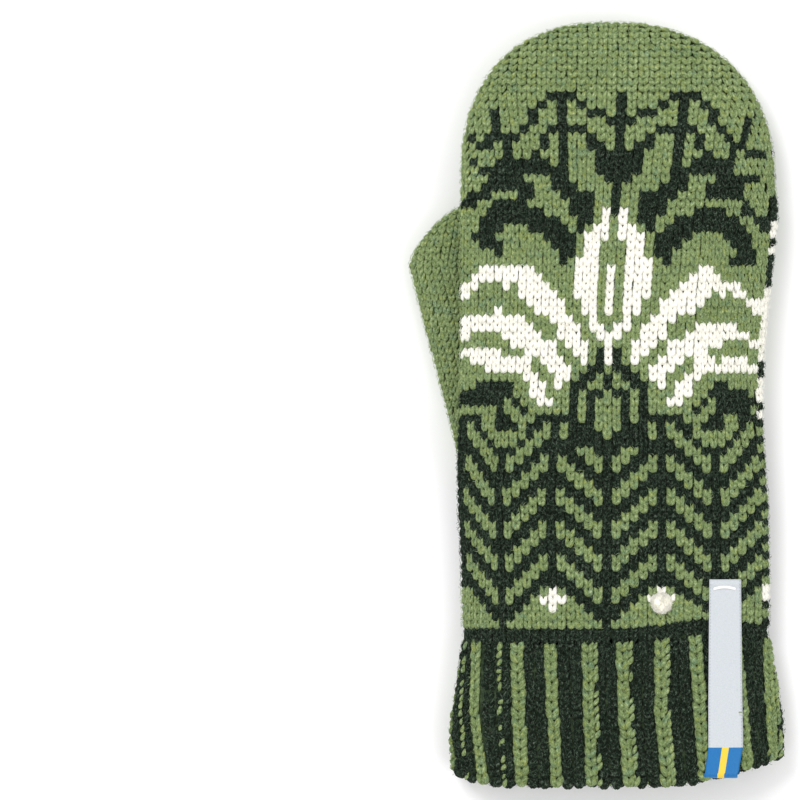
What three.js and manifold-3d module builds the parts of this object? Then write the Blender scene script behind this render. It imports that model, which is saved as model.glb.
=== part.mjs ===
// A knitted wool mitten that lies flat, palm down, fingertips towards +Y and thumb towards -X.
// Millimetres, +Z up. The origin is on the palm's flat underside, where the mitten rests.

import * as THREE from 'three';
import { mergeVertices } from 'three/addons/utils/BufferGeometryUtils.js';
import Module from 'manifold-3d';

// Driving dimensions, along Y from the hem to the fingertips.
const HEM_TO_PALM = 139;      // from the hem to the middle of the palm
const CUFF_LENGTH = 52;
const BAND_LENGTH = 5;        // the dark rounds between cuff and hand
const HAND_LENGTH = 193;      // the patterned part
const CROWN_LENGTH = 25;      // the plain closed top
const ARCH_LENGTH = 57.5;     // the rounded end, partly hand and partly crown

// Widths and thicknesses.
const HAND_WIDTH = 111;
const HAND_THICKNESS = 24;
const CUFF_FLARE = 11;         // how much wider the cuff's hem is than the hand
const CUFF_THICKNESS = 21;
const KNIT_WALL = 3.2;
const CUFF_WALL = 3;

// The thumb.
const THUMB_WIDTH = 37;
const THUMB_THICKNESS = 12.5;
const THUMB_LENGTH = 84;      // from its root to where its end starts to round
const THUMB_END = 23;         // the rounded end
const THUMB_ROOT_INSET = 22;  // middle of the root, from the hand's left side
const THUMB_ROOT_Y = -36;     // lower edge of the opening in the palm
const THUMB_LEAN = 22;        // how far the thumb leans out over its length
const THUMB_WALL = 3;
const ROOT_SLANT = 22;        // the opening runs this far along the hand
const TENT = 14;              // how far beside the thumb the palm comes down to the floor
const THUMB_COVER = 0.4;      // clearance between the thumb and the palm that lies on it

// The rib.
const RIBS_PER_SIDE = 9;
const RIB_DEPTH = 1.6;
const RIB_SHIFT = 0.6;        // where the first ridge lies from the left fold, in ribs
const HEM_SCALLOP = 1.6;
const HEM_ROUND = 1.1;
const HEM_RISE_RIGHT = 10;    // the hem ends higher at the right fold
const HEM_RISE_LEFT = 5;

// The ribbon and its tack.
const LABEL_WIDTH = 12;
const LABEL_THICKNESS = 0.6;
const LABEL_INSET = 16;       // middle of the ribbon, from the hand's right side
const LABEL_ABOVE_WRIST = 17.5;
const LABEL_TURN_IN = 9;      // length folded inside the cuff
const TACK_LENGTH = 7.6;
const TACK_RADIUS = 0.6;
const TACK_FROM_END = 3.2;

const GAP = 0.3;              // clearance between neighbouring pieces
const HALF = 0.5;

// Mesh fineness.
const SIDE_STEPS = 20;        // faces across one side of the hand
const THUMB_STEPS = 12;
const RIB_STEPS = 6;          // faces across one rib
const FINE = 160;             // samples used to space the points of a ring evenly
const ARCH_ROWS = 8;
const CUFF_ROWS = 5;
const LABEL_ROWS = 14;
const TURN_IN_ROWS = 3;
const TACK_CAP_STEPS = 3;
const TACK_SIDES = 8;
const HAND_ROWS = 20;
const THUMB_ROWS = 9;

// Places across X that follow from the widths.
const CUFF_WIDTH = HAND_WIDTH + CUFF_FLARE;
const THUMB_ROOT_X = THUMB_ROOT_INSET - HAND_WIDTH * HALF;
const LABEL_X = HAND_WIDTH * HALF - LABEL_INSET;

// Places along Y that follow from the lengths.
const HEM_Y = -HEM_TO_PALM;
const BAND_Y = HEM_Y + CUFF_LENGTH;
const WRIST_Y = BAND_Y + BAND_LENGTH;
const CROWN_Y = WRIST_Y + HAND_LENGTH;
const TIP_Y = CROWN_Y + CROWN_LENGTH;
const ARCH_Y = TIP_Y - ARCH_LENGTH;

// Sections of the hand from wrist to arch. left, right: shares of half the hand's width.
const HAND_SECTIONS = [
  { along: 0.00, left: 1.00, right: 1.00, thick: 0.80 },
  { along: 0.15, left: 1.01, right: 1.00, thick: 0.86 },
  { along: 0.29, left: 1.03, right: 0.99, thick: 0.94 },
  { along: 0.44, left: 1.03, right: 0.96, thick: 1.00 },
  { along: 0.62, left: 1.01, right: 0.97, thick: 1.00 },
  { along: 0.80, left: 1.01, right: 1.02, thick: 0.97 },
  { along: 0.93, left: 1.01, right: 1.06, thick: 0.94 },
  { along: 1.00, left: 1.01, right: 1.045, thick: 0.92 },
];

// Sections of the cuff from hem to band, shares of the cuff's half width and thickness.
const CUFF_SECTIONS = [
  { along: 0.00, left: 1.00, right: 1.04, thick: 1.00 },
  { along: 0.28, left: 1.01, right: 1.04, thick: 1.00 },
  { along: 0.47, left: 1.00, right: 1.02, thick: 0.98 },
  { along: 0.67, left: 0.98, right: 1.00, thick: 0.95 },
  { along: 1.00, left: 0.95, right: 0.95, thick: 0.92 },
];

// Shape of one section: powers of the front's curve, flat share of the palm, height of the fold.
const FRONT = { power: 3, root: 2 };
const PALM_FLAT = 0.72;
const FOLD_HEIGHT = 0.42;
const ARCH = { left: 2.4, right: 2.3, thin: 4, apex: -0.012 };
const THUMB_ARCH = { power: 1.8, thin: 3, apex: 0.1 };
const HEM_CURVE = { left: { from: 0.7, power: 2 }, right: { from: 0.3, power: 1.6 } };
const RIDGE_POWER = 0.8;      // under 1 makes the ridges full and the valleys narrow
const LABEL_BEND = [0.85, 0.15];  // where the ribbon turns round the hem, shares of the wall
const TINY = 1e-9;            // keeps a division or a search clear of rounding
const WELD = 1e-5;            // points closer than this are one

// A value read from a table of sections, smooth between its rows.
function reading(table, column, along) {
  const share = Math.min(1, Math.max(0, along));
  const next = Math.max(1, table.findIndex((row) => row.along >= share));
  const [from, to] = [table[next - 1], table[next]];
  const t = (share - from.along) / (to.along - from.along);
  const slopeAt = (i) => {
    const [a, b] = [table[Math.max(0, i - 1)], table[Math.min(table.length - 1, i + 1)]];
    return (b[column] - a[column]) / (b.along - a.along);
  };
  const width = to.along - from.along;
  const [t2, t3] = [t * t, t * t * t];
  return (2 * t3 - 3 * t2 + 1) * from[column] + (t3 - 2 * t2 + t) * width * slopeAt(next - 1)
    + (3 * t2 - 2 * t3) * to[column] + (t3 - t2) * width * slopeAt(next);
}

const smooth = (t) => THREE.MathUtils.smoothstep(t, 0, 1);
const clampedRoot = (value, power) => Math.pow(Math.max(0, value), 1 / power);

// The thumb's side edges and middle at a place along Y, grown by a clearance.
function thumbSpan(y, grow = 0) {
  const share = (y - THUMB_ROOT_Y) / THUMB_LENGTH;
  const middle = THUMB_ROOT_X - THUMB_LEAN * Math.min(1, share);
  const end = Math.max(0, (y - THUMB_ROOT_Y - THUMB_LENGTH) / (THUMB_END + grow));
  const arch = clampedRoot(1 - Math.pow(Math.min(1, end), THUMB_ARCH.power), THUMB_ARCH.power);
  const apex = middle + THUMB_ARCH.apex * THUMB_WIDTH;
  const half = THUMB_WIDTH * HALF + grow;
  return {
    left: apex + (middle - half - apex) * arch,
    right: apex + (middle + half - apex) * arch,
    thin: clampedRoot(1 - Math.pow(Math.min(1, end), THUMB_ARCH.thin), 2),
  };
}

// How high the thumb under it lifts the palm at a place.
function lift(x, y) {
  const inner = thumbSpan(Math.min(y, THUMB_ROOT_Y + THUMB_LENGTH)).right;
  const across = smooth((inner + TENT - x) / (TENT + 2));
  const along = smooth((y - THUMB_ROOT_Y) / ROOT_SLANT);
  const pastEnd = smooth((y - (THUMB_ROOT_Y + THUMB_LENGTH + THUMB_END)) / (2 * TENT));
  return (THUMB_THICKNESS + THUMB_COVER) * across * along * (1 - pastEnd);
}

// One section of hand, band or crown: its edges, its fold heights and its two surfaces.
function handSection(y, inset) {
  const along = (y - WRIST_Y) / (ARCH_Y - WRIST_Y);
  const half = HAND_WIDTH * HALF;
  const end = Math.min(1, Math.max(0, (y - ARCH_Y) / (ARCH_LENGTH - inset)));
  const archAt = (power) => clampedRoot(1 - Math.pow(end, power), power);
  const apex = ARCH.apex * HAND_WIDTH;
  const side = (column) => half * reading(HAND_SECTIONS, column, along) - inset;
  const left = apex - (side('left') + apex) * archAt(ARCH.left);
  const right = apex + (side('right') - apex) * archAt(ARCH.right);
  const thick = HAND_THICKNESS * reading(HAND_SECTIONS, 'thick', along);
  const thin = clampedRoot(1 - Math.pow(end, ARCH.thin), 2);
  return { y, left, right, thick, inset, thin, lift };
}

function cuffSection(y, inset) {
  const along = (y - HEM_Y) / (BAND_Y - HEM_Y);
  const half = CUFF_WIDTH * HALF;
  return {
    y,
    left: -(half * reading(CUFF_SECTIONS, 'left', along) - inset),
    right: half * reading(CUFF_SECTIONS, 'right', along) - inset,
    thick: CUFF_THICKNESS * reading(CUFF_SECTIONS, 'thick', along),
    inset,
    thin: 1,
    lift: () => 0,
  };
}

function thumbSection(y, inset) {
  const span = thumbSpan(y, -inset);
  return { y, ...span, thick: THUMB_THICKNESS, inset, lift: () => 0 };
}

// Height of the fold at a section's side edge: it sits on the thumb where the thumb lies below.
function foldHeight(section, x) {
  const raised = section.lift(x, section.y);
  return raised + (section.thick - raised) * FOLD_HEIGHT;
}

// Height of the upper or lower surface of a section at x.
function height(section, x, upper) {
  const middle = (section.left + section.right) * HALF;
  const half = Math.max(TINY, (section.right - section.left) * HALF);
  const share = Math.min(1, Math.abs(x - middle) / half);
  const edge = x < middle ? section.left : section.right;
  const fold = foldHeight(section, edge);
  if (upper) {
    const rise = clampedRoot(1 - Math.pow(share, FRONT.power), FRONT.root);
    return fold + (section.thick - section.inset - fold) * rise * section.thin;
  }
  const curl = Math.max(0, share - PALM_FLAT) / (1 - PALM_FLAT);
  const down = clampedRoot(1 - curl * curl, 2) * section.thin;
  return fold + (section.lift(x, section.y) + section.inset - fold) * down;
}

// Evenly spaced points round a section: over the upper side left to right, back along the lower.
function ring(section, steps) {
  const middle = (section.left + section.right) * HALF;
  const half = (section.right - section.left) * HALF;
  const side = (upper) => {
    const fine = Array.from({ length: FINE + 1 }, (_, i) => {
      const x = middle - half * Math.cos(Math.PI * i / FINE);
      return new THREE.Vector3(x, section.y, height(section, x, upper));
    });
    const run = [0];
    fine.slice(1).forEach((p, i) => run.push(run[i] + p.distanceTo(fine[i])));
    return Array.from({ length: steps + 1 }, (_, i) => {
      const wanted = run[FINE] * i / steps;
      const at = Math.min(FINE, Math.max(1, run.findIndex((r) => r >= wanted - TINY)));
      const t = (wanted - run[at - 1]) / Math.max(TINY, run[at] - run[at - 1]);
      return fine[at - 1].clone().lerp(fine[at], t);
    });
  };
  return [...side(true).slice(0, -1), ...side(false).reverse().slice(0, -1)];
}

// A closed mesh from a row of rings. The rings close on themselves, or end in a point at both ends.
function lofted(rings, poles) {
  const count = rings[0].length;
  const points = rings.flat();
  const faces = [];
  const last = poles ? rings.length - 1 : rings.length;
  for (let row = 0; row < last; row += 1) {
    for (let i = 0; i < count; i += 1) {
      const [a, b] = [row * count + i, row * count + (i + 1) % count];
      const above = ((row + 1) % rings.length) * count;
      const [c, d] = [above + i, above + (i + 1) % count];
      faces.push(a, b, c, b, d, c);
    }
  }
  if (poles) {
    const [start, end] = [points.length, points.length + 1];
    points.push(poles[0], poles[1]);
    const top = (rings.length - 1) * count;
    for (let i = 0; i < count; i += 1) {
      faces.push(start, (i + 1) % count, i);
      faces.push(end, top + i, top + (i + 1) % count);
    }
  }
  const geometry = new THREE.BufferGeometry();
  const flat = points.flatMap((p) => p.toArray());
  geometry.setAttribute('position', new THREE.Float32BufferAttribute(flat, 3));
  geometry.setIndex(faces);
  return geometry;
}

function centreOf(points) {
  const sum = points.reduce((total, p) => total.add(p), new THREE.Vector3());
  return sum.divideScalar(points.length);
}

const spaced = (from, to, rows) => Array.from({ length: rows + 1 }, (_, i) => from + (to - from) * i / rows);

// Rows along an arch: close together where it turns over.
function archRows(from, tip, rows) {
  const start = Math.asin(Math.min(1, Math.max(0, (from - ARCH_Y) / (tip - ARCH_Y))));
  return Array.from({ length: rows }, (_, i) => {
    const angle = start + (Math.PI * HALF - start) * i / rows;
    return ARCH_Y + (tip - ARCH_Y) * Math.sin(angle);
  });
}

// The hand's rows: even up to the arch, closer on it.
function handRows(from, to) {
  const straight = spaced(from, ARCH_Y, HAND_ROWS);
  const curved = spaced(ARCH_Y, to, ARCH_ROWS).slice(1);
  return [...straight, ...curved];
}

function openTube(rows, steps, wall, sectionAt) {
  const outer = rows.map((y) => ring(sectionAt(y, 0), steps));
  const inner = rows.map((y) => ring(sectionAt(y, wall), steps)).reverse();
  return lofted([...outer, ...inner], null);
}

// The plain top: outer and inner shells that each close in a point at the fingertips.
function crownGeometry() {
  const start = CROWN_Y + GAP * HALF;
  const fold = HAND_THICKNESS * HAND_SECTIONS.at(-1).thick * FOLD_HEIGHT;
  const ringAt = (inset) => (y) => ring(handSection(y, inset), SIDE_STEPS);
  const shell = (inset) => archRows(start, TIP_Y - inset, ARCH_ROWS).map(ringAt(inset));
  const pole = (inset) => new THREE.Vector3(ARCH.apex * HAND_WIDTH, TIP_Y - inset, fold);
  return lofted([...shell(KNIT_WALL).reverse(), ...shell(0)], [pole(KNIT_WALL), pole(0)]);
}

// Points of the thumb run from a slanted root, low edge first, to the rounded end.
function thumbRings(inset, slant) {
  const straightEnd = THUMB_ROOT_Y + THUMB_LENGTH;
  const end = THUMB_END - inset;
  const rows = [];
  for (let row = 0; row <= THUMB_ROWS; row += 1) {
    const share = row / THUMB_ROWS;
    const flat = ring(thumbSection(THUMB_ROOT_Y + THUMB_LENGTH * share, inset), THUMB_STEPS);
    rows.push(flat.map((p) => {
      const startY = THUMB_ROOT_Y + slant * Math.max(0, p.z) / THUMB_THICKNESS;
      const y = startY + (straightEnd - startY) * share;
      const moved = thumbSpan(y).left - thumbSpan(p.y).left;
      return new THREE.Vector3(p.x + moved, y, p.z);
    }));
  }
  for (let row = 1; row < ARCH_ROWS; row += 1) {
    const y = straightEnd + end * Math.sin(Math.PI * HALF * row / ARCH_ROWS);
    rows.push(ring(thumbSection(y, inset), THUMB_STEPS));
  }
  return rows;
}

function thumbTip(inset) {
  const y = THUMB_ROOT_Y + THUMB_LENGTH + THUMB_END - inset;
  const span = thumbSpan(y, -inset);
  return new THREE.Vector3(span.left, y, THUMB_THICKNESS * FOLD_HEIGHT);
}

function thumbGeometry() {
  const inner = thumbRings(THUMB_WALL, ROOT_SLANT).reverse();
  return lofted([...inner, ...thumbRings(0, ROOT_SLANT)], [thumbTip(THUMB_WALL), thumbTip(0)]);
}

// The thumb filled in and grown by the clearance: it opens the palm where the thumb comes out.
function thumbCutter() {
  const rings = thumbRings(-GAP, 0);
  const start = centreOf(rings[0]);
  const first = rings[0].map((p) => new THREE.Vector3(p.x, p.y - GAP, p.z));
  start.y -= GAP;
  return lofted([first, ...rings], [start, thumbTip(-GAP)]);
}

// Rib height so many ribs round from the left fold, 0 in the valleys and 1 on the ridges.
const ribShape = (ribs) => Math.pow(Math.abs(Math.sin(Math.PI * (ribs + HALF - RIB_SHIFT))), RIDGE_POWER);

// How far a share is past the start of a curve, 0 to 1, and the same raised to the curve's power.
const pastShare = (share, curve) => Math.max(0, (share - curve.from) / (1 - curve.from));
const curved = (share, curve) => Math.pow(pastShare(share, curve), curve.power);

// How much higher the hem ends at a place across the cuff.
function hemRise(x) {
  const share = 2 * x / CUFF_WIDTH;
  const right = curved(share, HEM_CURVE.right) * HEM_RISE_RIGHT;
  const left = curved(-share, HEM_CURVE.left) * HEM_RISE_LEFT;
  return right + left;
}

function ribbedRing(y, inset, pull, hem) {
  const steps = RIBS_PER_SIDE * RIB_STEPS;
  const plain = ring(cuffSection(y, inset + pull), steps);
  return plain.map((p, i) => {
    const before = plain[(i + plain.length - 1) % plain.length];
    const after = plain[(i + 1) % plain.length];
    const normal = new THREE.Vector3(before.z - after.z, 0, after.x - before.x).normalize();
    const ridge = ribShape(i / RIB_STEPS);
    const depth = inset > 0 ? 0 : RIB_DEPTH * (1 - ridge);
    const moved = p.clone().addScaledVector(normal, -depth);
    const drop = hemRise(p.x) - HEM_SCALLOP * (ridge - 1);
    moved.y += hem * drop;
    return moved;
  });
}

function cuffGeometry() {
  const top = BAND_Y - GAP * HALF;
  const low = HEM_Y + HEM_ROUND;
  const rows = spaced(low, top, CUFF_ROWS);
  const hemShare = (y) => Math.max(0, 1 - (y - HEM_Y) / (CUFF_LENGTH * HALF));
  const outer = rows.map((y) => ribbedRing(y, 0, 0, hemShare(y)));
  const inner = rows.map((y) => ribbedRing(y, CUFF_WALL, 0, hemShare(y)));
  const rim = [
    ribbedRing(HEM_Y, 0, HEM_ROUND * HALF, 1),
    ribbedRing(HEM_Y, CUFF_WALL, -HEM_ROUND * HALF, 1),
  ];
  return lofted([rim[1], rim[0], ...outer, ...inner.reverse()], null);
}

// Height of the outer surface that the ribbon lies on.
function frontHeight(x, y) {
  if (y < BAND_Y) {
    return height(cuffSection(y, 0), x, true);
  }
  return height(handSection(y, 0), x, true);
}

// The ribbon: over the front, round the hem and a little way up inside the cuff.
function labelGeometry() {
  const columns = [-HALF, 0, HALF].map((share) => LABEL_X + share * LABEL_WIDTH);
  const hem = HEM_Y + hemRise(LABEL_X) + HEM_ROUND;
  const ys = spaced(WRIST_Y + LABEL_ABOVE_WRIST, hem, LABEL_ROWS);
  const clear = GAP + LABEL_THICKNESS;
  const line = (x, over) => {
    const rise = over ? clear : GAP;
    const outside = ys.map((y) => new THREE.Vector3(x, y, frontHeight(x, y) + rise));
    const mouth = hemRise(LABEL_X) + HEM_Y - HEM_SCALLOP - rise;
    const wallTop = frontHeight(x, hem);
    const wallLow = wallTop - CUFF_WALL - HEM_ROUND * HALF;
    const turn = (share) => new THREE.Vector3(x, mouth, wallLow + (wallTop - wallLow) * share);
    const bend = LABEL_BEND.map(turn);
    const inside = spaced(hem, hem + LABEL_TURN_IN, TURN_IN_ROWS)
      .map((y) => new THREE.Vector3(x, y, height(cuffSection(y, CUFF_WALL), x, true) - rise));
    return [...outside, ...bend, ...inside];
  };
  const upper = columns.map((x) => line(x, true));
  const lower = columns.map((x) => line(x, false));
  const rings = upper[0].map((_, i) => [...upper.map((l) => l[i]), ...lower.map((l) => l[i]).reverse()]);
  return lofted(rings.reverse(), [centreOf(rings[0]), centreOf(rings.at(-1))]);
}

function tackGeometry() {
  const y = WRIST_Y + LABEL_ABOVE_WRIST - TACK_FROM_END;
  const straight = TACK_LENGTH - 2 * TACK_RADIUS;
  const geometry = new THREE.CapsuleGeometry(TACK_RADIUS, straight, TACK_CAP_STEPS, TACK_SIDES);
  geometry.rotateZ(Math.PI * HALF);
  const [left, right] = [-HALF, HALF].map((share) => LABEL_X + share * TACK_LENGTH);
  const slope = (frontHeight(right, y) - frontHeight(left, y)) / TACK_LENGTH;
  geometry.rotateY(-Math.atan(slope));
  geometry.translate(LABEL_X, y, frontHeight(LABEL_X, y) + 2 * GAP + LABEL_THICKNESS + TACK_RADIUS);
  return geometry;
}

// Boolean cut of one closed mesh by another.
function solidOf(wasm, geometry) {
  const bare = geometry.clone();
  bare.deleteAttribute('normal');
  bare.deleteAttribute('uv');
  const merged = mergeVertices(bare, WELD);
  const mesh = new wasm.Mesh({
    numProp: 3,
    vertProperties: new Float32Array(merged.attributes.position.array),
    triVerts: new Uint32Array(merged.index.array),
  });
  return new wasm.Manifold(mesh);
}

function geometryOf(solid) {
  const mesh = solid.getMesh();
  const geometry = new THREE.BufferGeometry();
  geometry.setAttribute('position', new THREE.BufferAttribute(mesh.vertProperties.slice(), 3));
  geometry.setIndex(new THREE.BufferAttribute(mesh.triVerts.slice(), 1));
  return geometry;
}

function piece(name, geometry, material) {
  const mesh = new THREE.Mesh(geometry, material);
  mesh.name = name;
  geometry.computeVertexNormals();
  return mesh;
}

const wasm = await Module();
wasm.setup();

const greenWool = new THREE.MeshStandardMaterial({ color: 0x86a565, roughness: 0.95, metalness: 0 });
const darkWool = new THREE.MeshStandardMaterial({ color: 0x26352c, roughness: 0.95, metalness: 0 });
const ribbon = new THREE.MeshStandardMaterial({ color: 0xdde3ea, roughness: 0.6, metalness: 0 });
const thread = new THREE.MeshStandardMaterial({ color: 0xeef1f4, roughness: 0.7, metalness: 0 });

const handRowsAll = handRows(WRIST_Y + GAP * HALF, CROWN_Y - GAP * HALF);
const bandRows = [BAND_Y + GAP * HALF, WRIST_Y - GAP * HALF];
const handTube = openTube(handRowsAll, SIDE_STEPS, KNIT_WALL, handSection);
const bandTube = openTube(bandRows, SIDE_STEPS, KNIT_WALL, handSection);
const openedHand = solidOf(wasm, handTube).subtract(solidOf(wasm, thumbCutter()));

const mitten = new THREE.Group();
mitten.add(piece('cuff', cuffGeometry(), greenWool));
mitten.add(piece('wrist_band', bandTube, darkWool));
mitten.add(piece('hand', geometryOf(openedHand), darkWool));
mitten.add(piece('crown', crownGeometry(), greenWool));
mitten.add(piece('thumb', thumbGeometry(), greenWool));
mitten.add(piece('label', labelGeometry(), ribbon));
mitten.add(piece('label_tack', tackGeometry(), thread));

export default mitten;
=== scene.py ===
# %% [markdown]
# A knitted wool mitten that lies flat on a pale floor, palm down, seen straight from above.
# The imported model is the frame: it says where everything is, and nothing here moves or resizes it.
# This lesson dresses it. Every stitch that shows is real geometry, laid on the frame's surfaces.

# %% Load the frame
import math
import bmesh
import bpy
import numpy as np
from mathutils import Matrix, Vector, noise


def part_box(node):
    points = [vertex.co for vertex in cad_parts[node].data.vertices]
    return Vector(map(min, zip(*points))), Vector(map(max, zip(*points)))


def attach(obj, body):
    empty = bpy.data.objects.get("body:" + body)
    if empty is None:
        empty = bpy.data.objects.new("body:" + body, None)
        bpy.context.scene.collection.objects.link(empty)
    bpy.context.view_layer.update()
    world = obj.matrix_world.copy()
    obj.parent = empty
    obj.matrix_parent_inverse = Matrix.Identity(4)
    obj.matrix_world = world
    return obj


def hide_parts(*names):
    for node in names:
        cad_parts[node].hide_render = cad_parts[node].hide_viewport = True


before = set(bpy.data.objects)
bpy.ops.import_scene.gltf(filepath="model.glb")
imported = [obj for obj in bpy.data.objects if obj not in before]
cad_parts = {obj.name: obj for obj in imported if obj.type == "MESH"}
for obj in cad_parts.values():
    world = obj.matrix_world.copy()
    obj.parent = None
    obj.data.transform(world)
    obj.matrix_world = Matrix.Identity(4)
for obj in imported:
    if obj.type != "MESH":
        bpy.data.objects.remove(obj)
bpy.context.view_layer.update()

MM = 0.001
SEED = 7
print("frame nodes:", ", ".join(sorted(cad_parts)))

# %% [markdown]
# The photograph looks straight down, so the camera does too. A long lens a good way up keeps the
# view nearly parallel. The mitten lies in the right half of the picture, as it does there.

# %% Camera, lights and floor
PICTURE_WIDTH = 0.288         # metres of floor across the picture
PICTURE_MIDDLE_X = -0.0774    # the picture's middle, measured from the middle of the hand
CAMERA_HEIGHT = 4.0
LENS_MM = 300
MIDDLE_HEIGHT = 0.013         # the picture's width is measured at this height


def camera_above():
    data = bpy.data.cameras.new("camera")
    data.lens = LENS_MM
    data.sensor_width = LENS_MM * PICTURE_WIDTH / (CAMERA_HEIGHT - MIDDLE_HEIGHT)
    data.clip_end = 20
    camera = bpy.data.objects.new("camera", data)
    camera.location = (PICTURE_MIDDLE_X, 0, CAMERA_HEIGHT)
    bpy.context.scene.collection.objects.link(camera)
    bpy.context.scene.camera = camera


def area_light(name, place, size, watts):
    data = bpy.data.lights.new(name, "AREA")
    data.shape, data.size, data.energy = "SQUARE", size, watts
    lamp = bpy.data.objects.new(name, data)
    lamp.location = place
    lamp.rotation_euler = (-Vector(place)).to_track_quat("-Z", "Y").to_euler()
    bpy.context.scene.collection.objects.link(lamp)


def pale_world(strength):
    world = bpy.data.worlds.new("studio")
    bpy.context.scene.world = world
    world.use_nodes = True
    world.node_tree.nodes["Background"].inputs["Color"].default_value = (1, 1, 1, 1)
    world.node_tree.nodes["Background"].inputs["Strength"].default_value = strength


def floor_plane(name, size):
    """A pale floor just under the mitten. It is part of the studio, not of the object."""
    mesh = bpy.data.meshes.new(name)
    corners = [(-size, -size, 0), (size, -size, 0), (size, size, 0), (-size, size, 0)]
    mesh.from_pydata(corners, [], [(0, 1, 2, 3)])
    paper = bpy.data.materials.new("paper")
    paper.use_nodes = True
    paper.node_tree.nodes["Principled BSDF"].inputs["Base Color"].default_value = (0.95, 0.95, 0.95, 1)
    paper.node_tree.nodes["Principled BSDF"].inputs["Roughness"].default_value = 0.9
    mesh.materials.append(paper)
    floor = bpy.data.objects.new(name, mesh)
    floor.location.z = -0.0017
    bpy.context.scene.collection.objects.link(floor)


for name in ("Cube", "Light", "Camera"):
    if name in bpy.data.objects:
        bpy.data.objects.remove(bpy.data.objects[name])
floor_plane("floor", 3.0)
camera_above()
area_light("key", (-0.7, 0.9, 1.5), 0.9, 18)
area_light("fill", (0.9, -0.6, 1.2), 1.2, 8)
pale_world(0.8)
bpy.context.scene.view_settings.view_transform = "Standard"
print("camera", CAMERA_HEIGHT, "m up, two soft lights")

# %% [markdown]
# Shader nodes are easier to read as sums. A small class wraps an output socket, so that
# `0.4 + 0.6 * noise` adds the Math nodes by itself. Every other node comes from one method.

# %% Materials as expressions


class Value:
    """A number that changes over the surface: the output of a node."""

    def __init__(self, finish, socket):
        self.finish, self.socket = finish, socket

    def _math(self, operation, first, second):
        return self.finish.node("ShaderNodeMath", {"operation": operation}, {0: first, 1: second})

    def __add__(self, other):
        return self._math("ADD", self, other)

    def __sub__(self, other):
        return self._math("SUBTRACT", self, other)

    def __rsub__(self, other):
        return self._math("SUBTRACT", other, self)

    def __mul__(self, other):
        return self._math("MULTIPLY", self, other)

    def __lt__(self, other):
        return self._math("LESS_THAN", self, other)

    def __gt__(self, other):
        return self._math("GREATER_THAN", self, other)

    __radd__ = __add__
    __rmul__ = __mul__


class Finish:
    """One material. Its constant values sit on the shader's own sockets."""

    def __init__(self, name, constants):
        self.material = bpy.data.materials.new(name)
        self.material.use_nodes = True
        self.tree = self.material.node_tree
        self.shader = self.tree.nodes["Principled BSDF"]
        for socket, value in constants.items():
            self.shader.inputs[socket].default_value = value

    def node(self, kind, settings=None, inputs=None, output=0):
        made = self.tree.nodes.new(kind)
        for key, value in (settings or {}).items():
            if key == "stops":
                self._set_ramp(made.color_ramp, value)
            else:
                setattr(made, key, value)
        for key, value in (inputs or {}).items():
            self.feed(made.inputs[key], value)
        return Value(self, made.outputs[output])

    def feed(self, socket, value):
        if isinstance(value, Value):
            self.tree.links.new(value.socket, socket)
        else:
            socket.default_value = value

    def _set_ramp(self, ramp, stops):
        while len(ramp.elements) < len(stops):
            ramp.elements.new(1)
        for element, (place, colour) in zip(ramp.elements, stops):
            element.position, element.color = place, colour

    def place(self):
        return self.node("ShaderNodeTexCoord", output="Object")

    def noise(self, scale, detail=2.0, rough=0.5, where=None):
        where = where or self.place()
        wanted = {"Vector": where, "Scale": scale, "Detail": detail, "Roughness": rough}
        return self.node("ShaderNodeTexNoise", {}, wanted)

    def mix(self, share, first, second):
        return self.node("ShaderNodeMix", {"data_type": "RGBA"}, {0: share, 6: first, 7: second}, 2)

    def bump(self, height, distance, strength=1.0, under=None):
        wanted = {"Height": height, "Distance": distance, "Strength": strength}
        if under is not None:
            wanted["Normal"] = under
        return self.node("ShaderNodeBump", {}, wanted)

    def set(self, socket, value):
        self.feed(self.shader.inputs[socket], value)


def srgb(red, green, blue):
    """A colour read off a screen, 0 to 255, as Blender's linear colour."""
    def linear(c):
        c = c / 255
        return c / 12.92 if c <= 0.04045 else ((c + 0.055) / 1.055) ** 2.4
    return (linear(red), linear(green), linear(blue), 1)


# %% [markdown]
# Carded wool is dyed before it is spun, so each yarn mixes fibres of several tones. Streaks follow
# the yarn: a noise read from each stitch's own map, stretched along the leg and slanted by the
# twist. The stitch's place is added, so that no two stitches look alike. A second noise, about a
# millimetre wide, varies the tone from stitch to stitch.

# %% Wool finishes
FLECK_SIZE = 900              # noise cells per metre
STREAKS_ROUND, STREAKS_ALONG = 26, 4.5
TWIST = 0.35                  # how far a streak winds round over the length of a leg
WOOL = {"Roughness": 0.95, "Specular IOR Level": 0.1, "Sheen Weight": 0.25, "Sheen Roughness": 0.6}


def streaks(finish):
    """Fibres of the yarn, from 0 to 1, finer than the stitch and slanted by the twist."""
    flat = finish.node("ShaderNodeUVMap", {"uv_map": "yarn_map"})
    parts = finish.node("ShaderNodeSeparateXYZ", {}, {0: flat})
    round_it = parts
    along = Value(finish, parts.socket.node.outputs[1])
    twisted = round_it + along * (TWIST * 0.5)
    where = finish.node("ShaderNodeCombineXYZ", {}, {0: twisted * STREAKS_ROUND, 1: along * STREAKS_ALONG})
    shifted = finish.node("ShaderNodeVectorMath", {"operation": "MULTIPLY_ADD"},
                          {0: finish.place(), 1: (260, 260, 260), 2: where})
    return finish.noise(1.0, 3, 0.65, shifted)


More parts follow.
